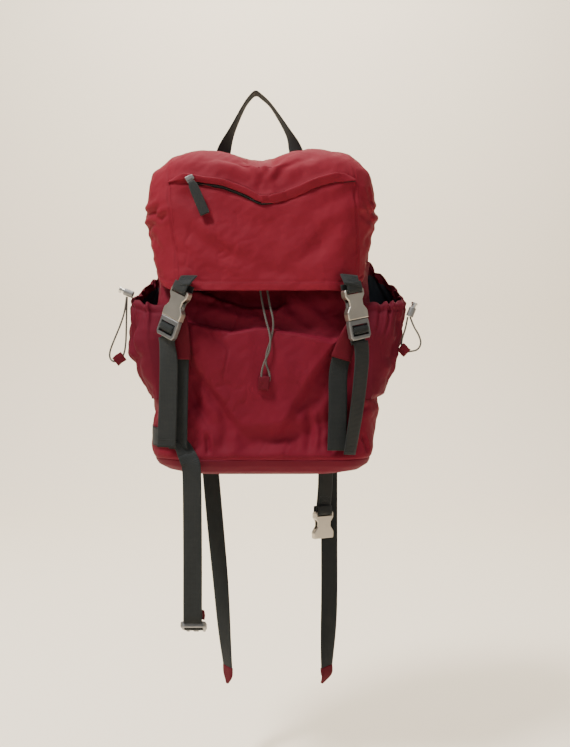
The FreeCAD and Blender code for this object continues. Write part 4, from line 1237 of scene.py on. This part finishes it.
def make_cords():
    centre_tab = make_tab("centre_tab", "collar_cord_tab", (16.5, -147.2, -426.5), 15.5, 19, 4, 1)
    left_tab = make_tab("left_tab", "left_cord_tab", (-191, -96, -397), 15, 14, -38, 2)
    right_tab = make_tab("right_tab", "right_cord_tab", (214, -96.3, -385), 14, 14, 42, 3)
    make_cord("centre_cord", "collar_drawcord", CENTRE_CORD)
    make_cord("left_rim_cord", "left_pocket_cord", LEFT_CORD)
    make_cord("right_rim_cord", "right_pocket_cord", RIGHT_CORD)


# ---------------------------------------------------------------- small fittings

def make_pull():
    """Webbing pull folded back on itself through the slider's bridge."""
    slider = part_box("zip_slider")
    middle = [(slider[0][k] + slider[1][k]) / 2 / MM for k in range(3)]
    x, z = middle[0] + 3.0, middle[2] - 4
    lean = math.tan(math.radians(23))
    front = [(x + drop * lean, -160.2 + bow, z - drop, 0, wide)
             for drop, bow, wide in ((0, 1.2, 8), (6, 0.4, 12), (16, 0, 13), (30, 0, 13), (43, 0.4, 13))]
    strap("pull_webbing", front, "zip_pull", ["zip_pull"], thick=2.8, wander=0.25, step=2.0, seed=12)


def finish_hardware():
    finishes = {"satin_nickel": NICKEL, "dark_nickel": DARK_NICKEL, "silver_metal": SILVER}
    for row in frame["record"]["subparts"]:
        finish = finishes.get(row["material_slot"])
        if finish:
            slots = frame["nodes"][row["node"]].data.materials
            slots.clear()
            slots.append(DARK_NICKEL if row["node"] == "zip_slider" else finish)


def make_red_hip_tip():
    strap("hip_tail_tip", [(-67.5, -138.5, -740, -60, 15), (-66.5, -138.5, -746, -60, 14.5),
                           (-66.5, -138.5, -752, -60, 10)], "left_hip", ["hip_strap_tip"], thick=2.4,
          material=RED_BINDING, wander=0.1, step=2.0)


# ---------------------------------------------------------------- studio

def make_studio():
    floor_z, wall_y, sweep = -1.02, 3.0, 0.9
    profile = [(-6.0, floor_z), (wall_y - sweep, floor_z)]
    for angle in np.radians(np.linspace(0, 90, 13))[1:]:
        profile.append((wall_y - sweep + sweep * math.sin(angle), floor_z + sweep - sweep * math.cos(angle)))
    profile.append((wall_y, 3.5))
    verts = [(x, y, z) for y, z in profile for x in (-6.0, 6.0)]
    faces = [(2 * i, 2 * i + 1, 2 * i + 3, 2 * i + 2) for i in range(len(profile) - 1)]
    mesh = bpy.data.meshes.new("backdrop")
    mesh.from_pydata(verts, [], faces)
    backdrop = bpy.data.objects.new("backdrop", mesh)
    bpy.context.collection.objects.link(backdrop)
    for polygon in mesh.polygons:
        polygon.use_smooth = True
    paint = Finish("pale_paint", (0.97, 0.87, 0.72), 0.9)
    mesh.materials.append(paint.material)


def add_light(name, place, aim, size, power, color=(1, 1, 1)):
    data = bpy.data.lights.new(name, "AREA")
    data.shape = "DISK"
    data.size = size
    data.energy = power
    data.color = color
    lamp = bpy.data.objects.new(name, data)
    lamp.location = place
    lamp.rotation_euler = (Vector(aim) - Vector(place)).to_track_quat("-Z", "Y").to_euler()
    bpy.context.collection.objects.link(lamp)


def light_studio():
    middle = (0.01, -0.07, -0.36)
    add_light("key", (-1.15, -1.12, 2.0), middle, 0.6, 124, (1.0, 0.98, 0.95))
    add_light("fill", (1.0, -2.3, 0.4), middle, 1.8, 8, (0.97, 0.98, 1.0))
    add_light("wall_wash", (0.0, 0.9, 2.9), (0.0, 2.6, -0.3), 2.4, 205, (1.0, 0.945, 0.86))
    world = bpy.data.worlds.new("soft_room")
    world.use_nodes = True
    world.node_tree.nodes["Background"].inputs[0].default_value = (0.95, 0.95, 0.93, 1)
    world.node_tree.nodes["Background"].inputs[1].default_value = 0.38
    bpy.context.scene.world = world


make_cords()
lid_skin = make_lid()
make_zip(lid_skin)
make_bag()
make_collar()
make_pocket("left_side_pocket", "left_pocket", -139.5, -1, LEFT_PROFILE, LEFT_RIM, 51)
make_pocket("right_side_pocket", "right_pocket", 167.5, 1, RIGHT_PROFILE, RIGHT_RIM, 62)
make_back()
make_webbing()
make_shoulder("left", -1)
make_shoulder("right", 1)
make_red_hip_tip()
make_pull()
finish_hardware()
make_studio()
light_studio()
